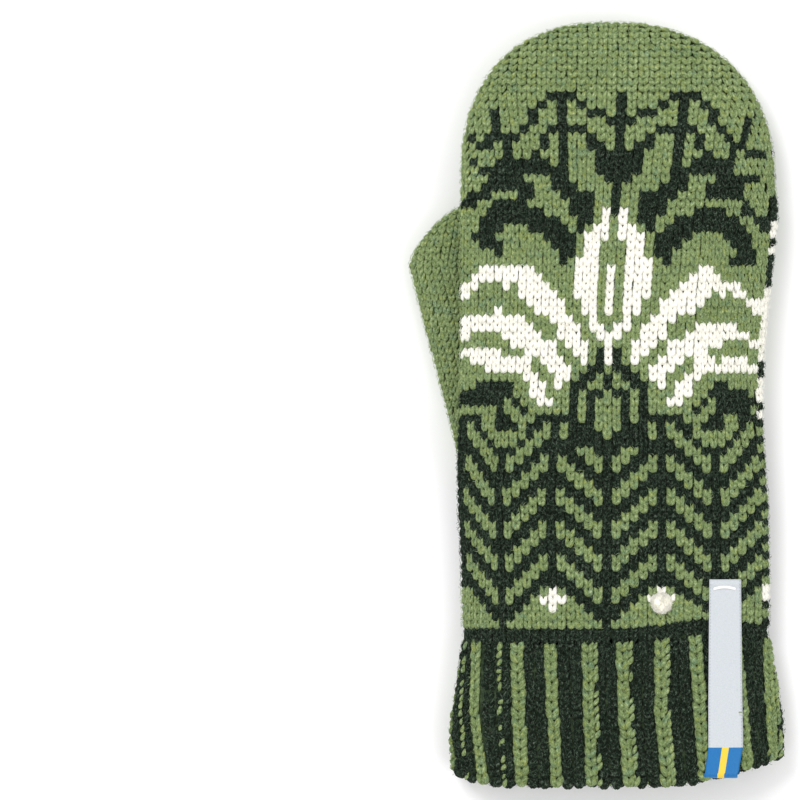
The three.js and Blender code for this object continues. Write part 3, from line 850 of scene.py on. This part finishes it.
def lay_cuff(wales, rows, width=None):
    made = []
    flat = np.ones((len(wales), 1))
    for row in range(rows):
        down = (row + 0.5) / rows
        here, out, at = cuff_places(wales, down)
        along = unit(cuff_places(wales, down - 0.3 / rows)[0] - cuff_places(wales, down + 0.3 / rows)[0])
        across = unit(np.cross(along, out))
        wide = cuff_places(wales + 0.5, down)[2] - cuff_places(wales - 0.5, down)[2]
        wide = np.clip(wide, 3.6, 5.2)[:, None] if width is None else flat * width
        made.append(np.concatenate([here, across, out, wide, flat * CUFF_COURSE, wales[:, None], flat * row], 1))
    return np.concatenate(made)


def lay_rim(wales):
    """The last row turns over the hem: stitches that face down the arm."""
    here, out, _ = cuff_places(wales, 1.0)
    flat = np.ones((len(wales), 1))
    here = here - out * 1.3 + np.array([[0, 0.5, 0]])
    facing = unit(0.35 * out + np.array([[0, -1.0, 0]]))
    across = unit(np.cross(np.array([[0, 1.0, 0]]), out))
    return np.concatenate([here, across, facing, flat * 4.6, flat * 3.2, wales[:, None], flat * 0], 1)


cuff_wales = np.arange(PER_RIDGE * RIDGES_ROUND).astype(float)
cuff_knit = np.concatenate([lay_cuff(cuff_wales, CUFF_ROWS), lay_rim(cuff_wales)])
cuff_beads = lay_cuff(np.array(BEADS), CUFF_ROWS + 3, 2.3)
cuff_beads = cuff_beads[np.random.default_rng(SEED).random(len(cuff_beads)) > 0.2]
print(len(cuff_knit), "stitches on the cuff,", len(cuff_beads), "beads between its ridges")

band_rows = np.array([BAND_Y + 1.3, BAND_Y + 3.8])
band_back = lay_rows(hand_section, middle_of_back, band_rows, WALES - 1, True, WALES, ARCH_Y, COURSE, back_ease)
band_palm = lay_rows(hand_section, middle_of_palm, band_rows, WALES - 1, False, WALES, ARCH_Y, COURSE)
print(len(band_back) + len(band_palm), "stitches in the band")

# %% [markdown]
# A plain knitted stitch shows two legs that meet at the bottom, like a tulip. Each leg is a small
# closed lobe, thick low down and pointed at its upper end. Its map runs round the yarn and along
# it, so the finish can follow the fibres. A hundred triangles keep thousands of them affordable.

# %% One stitch
LEG_SIDES = [20, 65, 115, 160, 270]                     # degrees round the yarn, one side below
LEG_RINGS = [(-0.86, 0.55), (-0.5, 0.95), (0.0, 1.0), (0.45, 0.72), (0.8, 0.38)]
PLAIN_RINGS = [(-0.8, 0.7), (-0.1, 1.0), (0.7, 0.5)]    # for the palm, which is seen less
LEG_LOW, LEG_MIDDLE, LEG_TOP = (0.09, -0.78, -0.09), (0.225, -0.04, 0.04), (0.375, 0.88, -0.24)
LEG_HALF_WIDTH = 0.28
LEG_HALF_DEPTH = 0.25


def leg_path(t):
    low, middle, top = (np.array(p) for p in (LEG_LOW, LEG_MIDDLE, LEG_TOP))
    return middle + (top - low) / 2 * t + ((top + low) / 2 - middle) * t * t


def stitch_object(name, path, half_width, half_depth, mirrored, sides=LEG_SIDES, rings=LEG_RINGS):
    """The legs in stitch units: x in widths, y in lengths, z in widths."""
    verts, faces, maps = [], [], []
    for side in mirrored:
        base = len(verts)
        spots = [(-1.0, 0.0)] + rings + [(1.0, 0.0)]
        for t, size in spots:
            x, y, z = path(t)
            if size == 0:
                verts.append((side * x, y, z))
                continue
            for angle in sides:
                a = math.radians(angle)
                verts.append((side * (x + half_width * size * math.cos(a)), y, z + half_depth * size * math.sin(a)))
        count = len(sides)

        def corner(ring, i):
            if ring == 0:
                return base
            if ring == len(rings) + 1:
                return base + 1 + count * len(rings)
            return base + 1 + (ring - 1) * count + i % count

        def where(ring, i):
            u = 0.02 + 0.46 * i / count + (0.5 if side < 0 else 0)
            return (u, 0.02 + 0.96 * (spots[ring][0] + 1) / 2)

        for ring in range(len(rings) + 1):
            for i in range(count):
                quad = [(ring, i), (ring, i + 1), (ring + 1, i + 1), (ring + 1, i)]
                face = [corner(r, k) for r, k in quad]
                flat = [where(r, k) for r, k in quad]
                if face[0] == face[1]:
                    face, flat = face[1:], flat[1:]
                elif face[2] == face[3]:
                    face, flat = face[:3], flat[:3]
                if side > 0:
                    face, flat = face[::-1], flat[::-1]
                faces.append(face)
                maps.extend(flat)
    mesh = bpy.data.meshes.new(name)
    mesh.from_pydata(verts, [], faces)
    layer = mesh.uv_layers.new(name="yarn_map")
    layer.data.foreach_set("uv", np.array(maps, dtype=np.float32).ravel())
    mesh.polygons.foreach_set("use_smooth", [True] * len(mesh.polygons))
    probe = bmesh.new()
    probe.from_mesh(mesh)
    if probe.calc_volume(signed=True) < 0:
        mesh.flip_normals()
    probe.free()
    stitch = bpy.data.objects.new(name, mesh)
    bpy.context.scene.collection.objects.link(stitch)
    return stitch


knit_stitch = stitch_object("knit_stitch", leg_path, LEG_HALF_WIDTH, LEG_HALF_DEPTH, (1, -1))
plain_stitch = stitch_object("plain_stitch", leg_path, LEG_HALF_WIDTH, LEG_HALF_DEPTH, (1, -1), rings=PLAIN_RINGS)
FIBRE_SIDES, FIBRE_RINGS = [90, 210, 330], [(-0.45, 0.9), (0.45, 0.9)]
fibre = stitch_object("fibre", lambda t: np.array([3 - 3 * t * t, 0.5 * t, 2 - 2 * t * t]), 0.5, 0.5, (1,),
                      FIBRE_SIDES, FIBRE_RINGS)
purl_bead = stitch_object("purl_bead", lambda t: np.array([0.25 * t, 0.5 * t, 0.1 - 0.1 * t * t]), 0.42, 0.4, (1,))
print(sum(len(p.vertices) - 2 for p in knit_stitch.data.polygons), "triangles in one stitch")

# %% [markdown]
# Geometry Nodes lays the stitch on every place. Each place is a loose point that carries the
# directions across and out, and the stitch's width and length. The tree turns each copy to
# those directions, varies it a little with a fixed seed, and realizes the lot. It also packs each
# copy's map into a cell of one big map, so that every stitch has its own patch of it.

# %% The tree that lays stitches
UNEVEN = 0.035                # how far a stitch strays from its place, in stitches


class Tree:
    """A Geometry Nodes tree made by calls: every node comes from one method."""

    def __init__(self, name, inputs):
        self.tree = bpy.data.node_groups.new(name, "GeometryNodeTree")
        self.keys = {}
        for label, kind in inputs:
            socket = self.tree.interface.new_socket(label, in_out="INPUT", socket_type=kind)
            self.keys[label] = socket.identifier
        self.tree.interface.new_socket("Knitting", in_out="OUTPUT", socket_type="NodeSocketGeometry")
        self.given = self.tree.nodes.new("NodeGroupInput").outputs

    def node(self, kind, settings=None, inputs=None, output=0):
        made = self.tree.nodes.new(kind)
        for key, value in (settings or {}).items():
            setattr(made, key, value)
        for key, value in (inputs or {}).items():
            if isinstance(value, bpy.types.NodeSocket):
                self.tree.links.new(value, made.inputs[key])
            else:
                made.inputs[key].default_value = value
        return made.outputs[output] if len(made.outputs) else made

    def attribute(self, name, kind="FLOAT_VECTOR"):
        return self.node("GeometryNodeInputNamedAttribute", {"data_type": kind}, {"Name": name})

    def vector(self, operation, first, second):
        return self.node("ShaderNodeVectorMath", {"operation": operation}, {0: first, 1: second})


laying = Tree("lay_stitches", [
    ("Places", "NodeSocketGeometry"), ("Stitch", "NodeSocketObject"), ("Yarn", "NodeSocketMaterial"),
    ("Wobble", "NodeSocketFloat"), ("Cell", "NodeSocketFloat"), ("Seed", "NodeSocketInt"),
])


def wire(build):
    given = build.given
    facing = build.node("FunctionNodeAxesToRotation", {"primary_axis": "Z", "secondary_axis": "X"},
                        {"Primary Axis": build.attribute("out"), "Secondary Axis": build.attribute("across")})
    loose = build.node("FunctionNodeRandomValue", {"data_type": "FLOAT_VECTOR"},
                       {0: (-1, -1, -1), 1: (1, 1, 1), "Seed": given["Seed"]})
    lean = build.node("ShaderNodeVectorMath", {"operation": "SCALE"}, {0: loose, "Scale": given["Wobble"]})
    turned = build.node("FunctionNodeRotateRotation", {"rotation_space": "LOCAL"},
                        {0: facing, 1: build.node("FunctionNodeEulerToRotation", {}, {0: lean})})
    grown = build.node("ShaderNodeVectorMath", {"operation": "MULTIPLY_ADD"},
                       {0: lean, 1: build.attribute("size"), 2: build.attribute("size")})
    shape = build.node("GeometryNodeObjectInfo", {}, {"Object": given["Stitch"]}, "Geometry")
    laid = build.node("GeometryNodeInstanceOnPoints", {}, {
        "Points": given["Places"], "Instance": shape, "Rotation": turned, "Scale": grown})
    real = build.node("GeometryNodeRealizeInstances", {}, {"Geometry": laid})
    small = build.node("ShaderNodeVectorMath", {"operation": "SCALE"},
                       {0: build.attribute("yarn_map"), "Scale": given["Cell"]})
    placed = build.vector("ADD", small, build.attribute("cell"))
    mapped = build.node("GeometryNodeStoreNamedAttribute", {"data_type": "FLOAT2", "domain": "CORNER"},
                        {"Geometry": real, "Name": "OFBake", "Value": placed})
    dyed = build.node("GeometryNodeSetMaterial", {}, {"Geometry": mapped, "Material": given["Yarn"]})
    build.node("NodeGroupOutput", {}, {0: dyed})


wire(laying)


def add_vectors(mesh, name, values):
    mesh.attributes.new(name, "FLOAT_VECTOR", "POINT")
    mesh.attributes[name].data.foreach_set("vector", np.ascontiguousarray(values, dtype=np.float32).ravel())


def lay(name, stitches, yarn, stitch=None, sink=0.7, wobble=0.08, plump=1.0):
    """A piece of knitting: one stitch at each place, sunk a little into the frame's surface."""
    across, out = stitches[:, 3:6], stitches[:, 6:9]
    rng = np.random.default_rng(SEED + len(stitches))
    shift = rng.normal(0, UNEVEN, (len(stitches), 3)) * stitches[:, [9, 10, 9]]
    along = np.cross(out, across)
    moved = across * shift[:, :1] + along * shift[:, 1:2] + out * (shift[:, 2:] - sink)
    places = (stitches[:, 0:3] + moved) * MM
    mesh = bpy.data.meshes.new(name)
    mesh.from_pydata(places.tolist(), [], [])
    width, length = stitches[:, 9] * MM, stitches[:, 10] * MM
    cells = math.ceil(math.sqrt(len(stitches)))
    rank = np.arange(len(stitches))
    add_vectors(mesh, "across", across)
    add_vectors(mesh, "out", out)
    add_vectors(mesh, "size", np.stack([width * plump, length, width * plump], 1))
    add_vectors(mesh, "cell", np.stack([rank % cells, rank // cells, 0 * rank], 1) / cells)
    piece = bpy.data.objects.new(name, mesh)
    bpy.context.scene.collection.objects.link(piece)
    modifier = piece.modifiers.new("lay", "NODES")
    modifier.node_group = laying.tree
    keys = laying.keys
    modifier[keys["Stitch"]] = stitch or knit_stitch
    modifier[keys["Yarn"]] = wools[yarn]
    modifier[keys["Wobble"]] = wobble
    modifier[keys["Cell"]] = 1.0 / cells
    modifier[keys["Seed"]] = SEED + len(name)
    bpy.context.view_layer.update()
    real = bpy.data.meshes.new_from_object(piece.evaluated_get(bpy.context.evaluated_depsgraph_get()))
    piece.modifiers.clear()
    piece.data = real
    real.name = name
    for spare in ("across", "out", "size", "cell"):
        if spare in real.attributes:
            real.attributes.remove(real.attributes[spare])
    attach(piece, "root")
    print(name, len(stitches), "stitches,", sum(len(p.vertices) - 2 for p in real.polygons), "triangles")
    return piece


# %% [markdown]
# Wool is never smooth. Loose fibres stand off the yarn, catch the light and blur the edges of the
# stitches. Each is a thin bent spindle of a dozen triangles, laid by the same tree as the
# stitches. They lie at any angle, a little above the stitch that they come out of.

# %% Loose fibres
FIBRE_WIDTH = 0.15
FIBRE_LENGTHS = (1.0, 2.8)
FIBRE_RISE = (-0.2, 0.4)      # from the tops of the stitches, in millimetres


def fibres_on(stitches, each, seed, tilt=0.25):
    """Places for loose fibres, so many on each stitch, with their own directions."""
    rng = np.random.default_rng(seed)
    base = np.repeat(stitches, each, axis=0)
    count = len(base)
    across, out = base[:, 3:6], base[:, 6:9]
    along = np.cross(out, across)
    side = rng.uniform(-0.5, 0.5, count) * base[:, 9]
    up = rng.uniform(-0.5, 0.5, count) * base[:, 10]
    rise = rng.uniform(*FIBRE_RISE, count)
    place = base[:, 0:3] + across * side[:, None] + along * up[:, None] + out * rise[:, None]
    turn = rng.uniform(0, 2 * math.pi, count)[:, None]
    lean = rng.normal(0, tilt, count)[:, None]
    x_axis = across * np.cos(turn) + along * np.sin(turn)
    y_axis = -across * np.sin(turn) + along * np.cos(turn)
    normal = unit(out * np.cos(lean) + y_axis * np.sin(lean))
    length = rng.uniform(*FIBRE_LENGTHS, (count, 1))
    return np.concatenate([place, x_axis, normal, 0 * length + FIBRE_WIDTH, length, base[:, 11:13]], 1)


# %% [markdown]
# Under the stitches lies a thin dark backing: the frame's own knitted walls, copied, merged and
# pulled in a millimetre from both faces. It closes the gaps between stitches, as the far side of
# the fabric does. Its colours are partly painted shade: under the hand, cuff and band a dark green
# that stands for the far side and for the shade in the gaps, under the crown and thumb a green
# darker than their yarn, painted shade in the gaps only. The copies take the place of the plain frame nodes.

# %% The backing
WIDEST_Y, SHOULDER_LONG = 60.0, 40.0
THUMB_CLEAR = 1.2
SHOULDER_EASE = 0.035         # the right shoulder slopes more than the plain walls do


def backing(node, shrink, yarn):
    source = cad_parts[node]
    mesh = source.data.copy()
    mesh.transform(source.matrix_world)
    work = bmesh.new()
    work.from_mesh(mesh)
    bmesh.ops.remove_doubles(work, verts=work.verts, dist=0.00002)
    work.normal_update()
    moves = [(v, v.normal * shrink * MM) for v in work.verts]
    for vert, move in moves:
        vert.co -= move
        if node == "cuff":
            vert.co.x *= CUFF_EASE
        if node == "thumb":
            vert.co.x = max(vert.co.x, float(thumb_span(vert.co.y / MM)[0] + THUMB_CLEAR) * MM)
        if node in ("hand", "crown") and vert.co.x > 0:
            vert.co.x *= 1 - SHOULDER_EASE * float(smooth((vert.co.y / MM - WIDEST_Y) / SHOULDER_LONG))
    work.to_mesh(mesh)
    work.free()
    mesh.materials.clear()
    mesh.materials.append(wools[yarn])
    mesh.polygons.foreach_set("use_smooth", [True] * len(mesh.polygons))
    piece = bpy.data.objects.new(node + "_backing", mesh)
    bpy.context.scene.collection.objects.link(piece)
    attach(piece, "root")
    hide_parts(node)
    return piece


backing("hand", 1.45, "shade")
# Painted shade: the crown and thumb backing is a green darker than their yarn.
backing("crown", 1.3, "green_shade")
backing("thumb", 1.25, "green_shade")
backing("cuff", 1.3, "shade")
backing("wrist_band", 1.4, "shade")
print("backing made from the frame's walls")

# %% Lay the knitting
names = {GREEN: "green", DARK: "dark", CREAM: "white"}
for yarn, word in names.items():
    lay("back_" + word, back[back_yarn == yarn], word, plump=1.07)
    lay("palm_" + word, palm[palm_yarn == yarn], word, stitch=plain_stitch)
folds = np.concatenate([left_edge, right_edge])
fold_yarn = np.concatenate([chart(-18 + 0 * left_edge[:, 12], left_edge[:, 12]), edge_chart(right_edge[:, 12])])
fold_yarn[folds[:, 1] > CROWN_Y - 18] = GREEN
for yarn, word in names.items():
    lay("fold_" + word, folds[fold_yarn == yarn], word)
lay("crown_knit", np.concatenate([crown_back, crown_palm]), "green", sink=0.6, plump=1.07)
lay("thumb_knit", thumb, "green", sink=0.7)
lay("band_knit", np.concatenate([band_back, band_palm]), "dark")
ridge = cuff_knit[:, 11] % PER_RIDGE == 0
# The ridges take the darkened green: painted shade from the gaps between them.
lay("cuff_green", cuff_knit[ridge], "rib", sink=1.0, plump=1.1)
lay("cuff_dark", cuff_knit[~ridge], "dark", sink=1.0, wobble=0.12)
lay("cuff_beads", cuff_beads, "green", stitch=purl_bead, sink=0.15, wobble=0.2)

# %% [markdown]
# A ball of loose white wool sits on the right-hand cross: a squashed sphere, dented by noise and
# covered with more curled fibres than anything else on the mitten.

# %% The white knot
KNOT_X, KNOT_Y = 16.6, -73.0
KNOT_RADIUS, KNOT_FLAT = 3.2, 0.36
KNOT_TUFTS = 160


def knot_ball():
    middle = Vector((KNOT_X, KNOT_Y, float(surface(hand_section, KNOT_X, KNOT_Y, True)) + 0.2))
    work = bmesh.new()
    bmesh.ops.create_icosphere(work, subdivisions=4, radius=1.0)
    for vert in work.verts:
        lump = 1 + 0.14 * noise.noise(vert.co * 2.3) + 0.10 * noise.noise(vert.co * 6.1)
        vert.co = (Vector((vert.co.x, vert.co.y, vert.co.z * KNOT_FLAT)) * lump * KNOT_RADIUS + middle) * MM
    mesh = bpy.data.meshes.new("knot_ball")
    work.to_mesh(mesh)
    work.free()
    mesh.polygons.foreach_set("use_smooth", [True] * len(mesh.polygons))
    # The knot's finish glows: painted light on its shaded side.
    mesh.materials.append(wools["knot"])
    ball = bpy.data.objects.new("knot_ball", mesh)
    bpy.context.scene.collection.objects.link(ball)
    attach(ball, "root")
    return middle


def knot_tufts(middle):
    """Places all over the ball's upper side, for fibres to start from."""
    rng = np.random.default_rng(SEED + 50)
    turn, high = rng.uniform(0, 2 * math.pi, KNOT_TUFTS), rng.uniform(0.0, 1.0, KNOT_TUFTS)
    flat = np.sqrt(1 - high ** 2)
    out = np.stack([flat * np.cos(turn), flat * np.sin(turn), high], 1)
    across = unit(np.cross(out, np.array([[0.3, 0.2, 1.0]])))
    place = np.array(middle)[None] + out * np.array([[1, 1, KNOT_FLAT]]) * KNOT_RADIUS
    one = np.ones((KNOT_TUFTS, 1))
    return np.concatenate([place, across, out, 1.5 * one, 1.5 * one, 0 * one, 0 * one], 1)


tufts = knot_tufts(knot_ball())

# %% Lay the loose fibres
fuzz = {"green": [], "dark": [], "white": [fibres_on(tufts, 6, SEED + 51, 0.6)]}
for yarn, word in names.items():
    fuzz[word].append(fibres_on(back[back_yarn == yarn], 5, SEED + yarn))
    fuzz[word].append(fibres_on(folds[fold_yarn == yarn], 8, SEED + 20 + yarn, 0.5))
fuzz["green"].append(fibres_on(np.concatenate([crown_back, thumb]), 4, SEED + 30))
fuzz["green"].append(fibres_on(cuff_knit[ridge], 4, SEED + 31))
fuzz["dark"].append(fibres_on(cuff_knit[~ridge], 6, SEED + 32))
fuzz["dark"].append(fibres_on(band_back, 5, SEED + 33))
for word, parts in fuzz.items():
    lay("fuzz_" + word, np.concatenate(parts), word + "_fuzz", stitch=fibre, sink=0.0)
for helper in (knit_stitch, plain_stitch, fibre, purl_bead):
    bpy.data.objects.remove(helper)

# %% [markdown]
# The ribbon is a strip of satin, 12 mm wide. It starts below the pattern, runs down over the rib
# and turns round the hem. Its edges and its end follow the photograph. Where the real one has
# words it is left blank. A blue end with a yellow stripe is worked out from the strip's own map:
# u runs across it and v down it.

# %% The ribbon and its stitching
RIBBON_THICK = 0.35
RIBBON_OVER = 0.85            # above the plain walls, so that it lies on the stitches
RIBBON_EDGES = {"y": [-136, -124.6, -110, -64], "left": [31.9, 33.4, 33.4, 33.8], "right": [43.9, 45.9, 45.7, 45.2]}
RIBBON_ROWS, BEND_ROWS, INSIDE_ROWS, RIBBON_COLUMNS = 90, 12, 10, 12
BEND_RADIUS = 1.9
RIBBON_INSIDE = 8.0           # how far it runs back up inside the cuff
BLUE_UP_TO = 9.0             # from the hem, in millimetres
STRIPE = (0.395, 0.595)       # shares of the width
TACK_Y, TACK_RISE, TACK_THICK = label_high[1] - 3.1, 0.7, 0.46
MAP_LENGTH = 100.0            # millimetres of ribbon in one unit of v


def plain_height(x, y):
    """The plain walls under the ribbon, eased where the cuff meets the hand."""
    levels = [np.where(t < BAND_Y, surface(cuff_section, x, np.minimum(t, BAND_Y), True),
                       surface(hand_section, x, np.maximum(t, WRIST_Y), True)) for t in (y - 4, y - 2, y, y + 2, y + 4)]
    return sum(levels) / len(levels)


def ribbon_line(share):
    """The middle of the strip's thickness from its top end to its end inside the cuff, and v."""
    top = label_high[1]
    x_at = np.interp(np.linspace(0, 1, RIBBON_ROWS), [0, 1], [0, 1])
    ends = [np.interp(y, RIBBON_EDGES["y"], RIBBON_EDGES["left"]) * (1 - share)
            + np.interp(y, RIBBON_EDGES["y"], RIBBON_EDGES["right"]) * share for y in (top, -136)]
    hem = float(hem_line(38.0)) + 1.1
    y = top + (hem - top) * x_at
    x = (np.interp(y, RIBBON_EDGES["y"], RIBBON_EDGES["left"]) * (1 - share)
         + np.interp(y, RIBBON_EDGES["y"], RIBBON_EDGES["right"]) * share)
    z = plain_height(x, y) + RIBBON_OVER
    z += 0.45 * np.exp(-((y - top + 1.3) / 1.0) ** 2) - 0.25 * np.exp(-((y - TACK_Y) / 0.7) ** 2)
    turn = np.linspace(0, math.pi, BEND_ROWS + 1)[1:]
    bend_y, bend_z = hem - BEND_RADIUS * np.sin(turn), z[-1] - BEND_RADIUS * (1 - np.cos(turn))
    back_y = hem + np.linspace(0, RIBBON_INSIDE, INSIDE_ROWS + 1)[1:]
    back_z = bend_z[-1] + 0 * back_y
    rest = np.full(BEND_ROWS + INSIDE_ROWS, ends[1])
    v = np.concatenate([y - hem, -BEND_RADIUS * turn, -BEND_RADIUS * math.pi - (back_y - hem)])
    line = np.stack([np.concatenate([x, rest]), np.concatenate([y, bend_y, back_y]),
                     np.concatenate([z, bend_z, back_z])], 1)
    return line, v


def strip(name, lines, downs, thick, finish, node):
    """A closed strip through lines of points, its map's u across and v along."""
    grid = np.stack(lines, 1)
    rows, columns = grid.shape[:2]
    down, side = np.gradient(grid, axis=0), np.gradient(grid, axis=1)
    normal = np.cross(side, -down)
    normal /= np.linalg.norm(normal, axis=2, keepdims=True)
    verts = np.concatenate([(grid + normal * thick / 2).reshape(-1, 3), (grid - normal * thick / 2).reshape(-1, 3)])
    half = rows * columns

    def at(row, column, low):
        return row * columns + column + (half if low else 0)

    faces = []
    for r in range(rows - 1):
        for k in range(columns - 1):
            faces.append([at(r, k, 0), at(r + 1, k, 0), at(r + 1, k + 1, 0), at(r, k + 1, 0)])
            faces.append([at(r, k + 1, 1), at(r + 1, k + 1, 1), at(r + 1, k, 1), at(r, k, 1)])
        faces.append([at(r, 0, 1), at(r + 1, 0, 1), at(r + 1, 0, 0), at(r, 0, 0)])
        faces.append([at(r, columns - 1, 0), at(r + 1, columns - 1, 0), at(r + 1, columns - 1, 1), at(r, columns - 1, 1)])
    for k in range(columns - 1):
        faces.append([at(0, k, 0), at(0, k + 1, 0), at(0, k + 1, 1), at(0, k, 1)])
        faces.append([at(rows - 1, k, 1), at(rows - 1, k + 1, 1), at(rows - 1, k + 1, 0), at(rows - 1, k, 0)])
    mesh = bpy.data.meshes.new(name)
    mesh.from_pydata((verts * MM).tolist(), [], faces)
    u = np.tile(np.linspace(0, 1, columns), rows)
    v = 0.5 + np.stack(downs, 1).reshape(-1) / MAP_LENGTH
    layer = mesh.uv_layers.new(name="ribbon_map")
    corners = np.empty(len(mesh.loops), dtype=np.int32)
    mesh.loops.foreach_get("vertex_index", corners)
    corners %= half
    layer.data.foreach_set("uv", np.stack([u[corners], v[corners]], 1).astype(np.float32).ravel())
    mesh.polygons.foreach_set("use_smooth", [True] * len(mesh.polygons))
    mesh.materials.append(finish)
    piece = bpy.data.objects.new(name, mesh)
    bpy.context.scene.collection.objects.link(piece)
    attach(piece, "root")
    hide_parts(node)
    return piece


def ribbon_finish():
    finish = Finish("label_ribbon", {"Roughness": 0.42, "Specular IOR Level": 0.4})
    flat = finish.node("ShaderNodeUVMap", {"uv_map": "ribbon_map"})
    u = finish.node("ShaderNodeSeparateXYZ", {}, {0: flat})
    v = Value(finish, u.socket.node.outputs[1])
    weave = finish.noise(2600, 2, 0.5)
    satin = finish.mix(weave, srgb(176, 182, 187), srgb(205, 210, 214))
    wave = finish.node("ShaderNodeMath", {"operation": "SINE"}, {0: v * (2 * math.pi * MAP_LENGTH / 1.15)})
    picots = ((u < 0.055) * (u > 0.03) + (u < 0.97) * (u > 0.945)) * (wave > 0.1)
    satin = finish.mix(picots * 0.55, satin, srgb(140, 148, 160))
    blue = finish.mix(weave, srgb(0, 96, 158), srgb(6, 114, 180))
    yellow = finish.mix(weave, srgb(228, 190, 44), srgb(238, 206, 66))
    flag = finish.mix((u > STRIPE[0]) * (u < STRIPE[1]), blue, yellow)
    finish.set("Base Color", finish.mix(v < 0.5 + BLUE_UP_TO / MAP_LENGTH, satin, flag))
    finish.set("Normal", finish.bump(weave, 0.00008))
    return finish.material


def tack_line(offset):
    """An arc of thread across the ribbon, near its top end."""
    x = np.linspace(35.2, 43.3, 24)
    arc = TACK_RISE * np.sin(np.linspace(0, math.pi, 24))
    y = TACK_Y - TACK_RISE / 2 + arc + offset
    z = plain_height(x, y) + RIBBON_OVER + RIBBON_THICK / 2 + 0.06 + 0.1 * np.sin(np.linspace(0, math.pi, 24))
    return np.stack([x, y, z - (offset / TACK_THICK) ** 2 * 0.15], 1), x


shares = np.linspace(0, 1, RIBBON_COLUMNS + 1)
ribbon = [ribbon_line(share) for share in shares]
strip("ribbon", [r[0] for r in ribbon], [r[1] for r in ribbon], RIBBON_THICK, ribbon_finish(), "label")
tack = [tack_line(offset) for offset in np.linspace(-TACK_THICK, TACK_THICK, 5)]
thread = Finish("label_thread", {"Roughness": 0.5, "Base Color": srgb(238, 238, 236)}).material
strip("ribbon_tack", [t[0] for t in tack], [t[1] for t in tack], 0.3, thread, "label_tack")
print("ribbon", round(label_high[1] - float(hem_line(38.0)), 1), "mm long down to the hem")
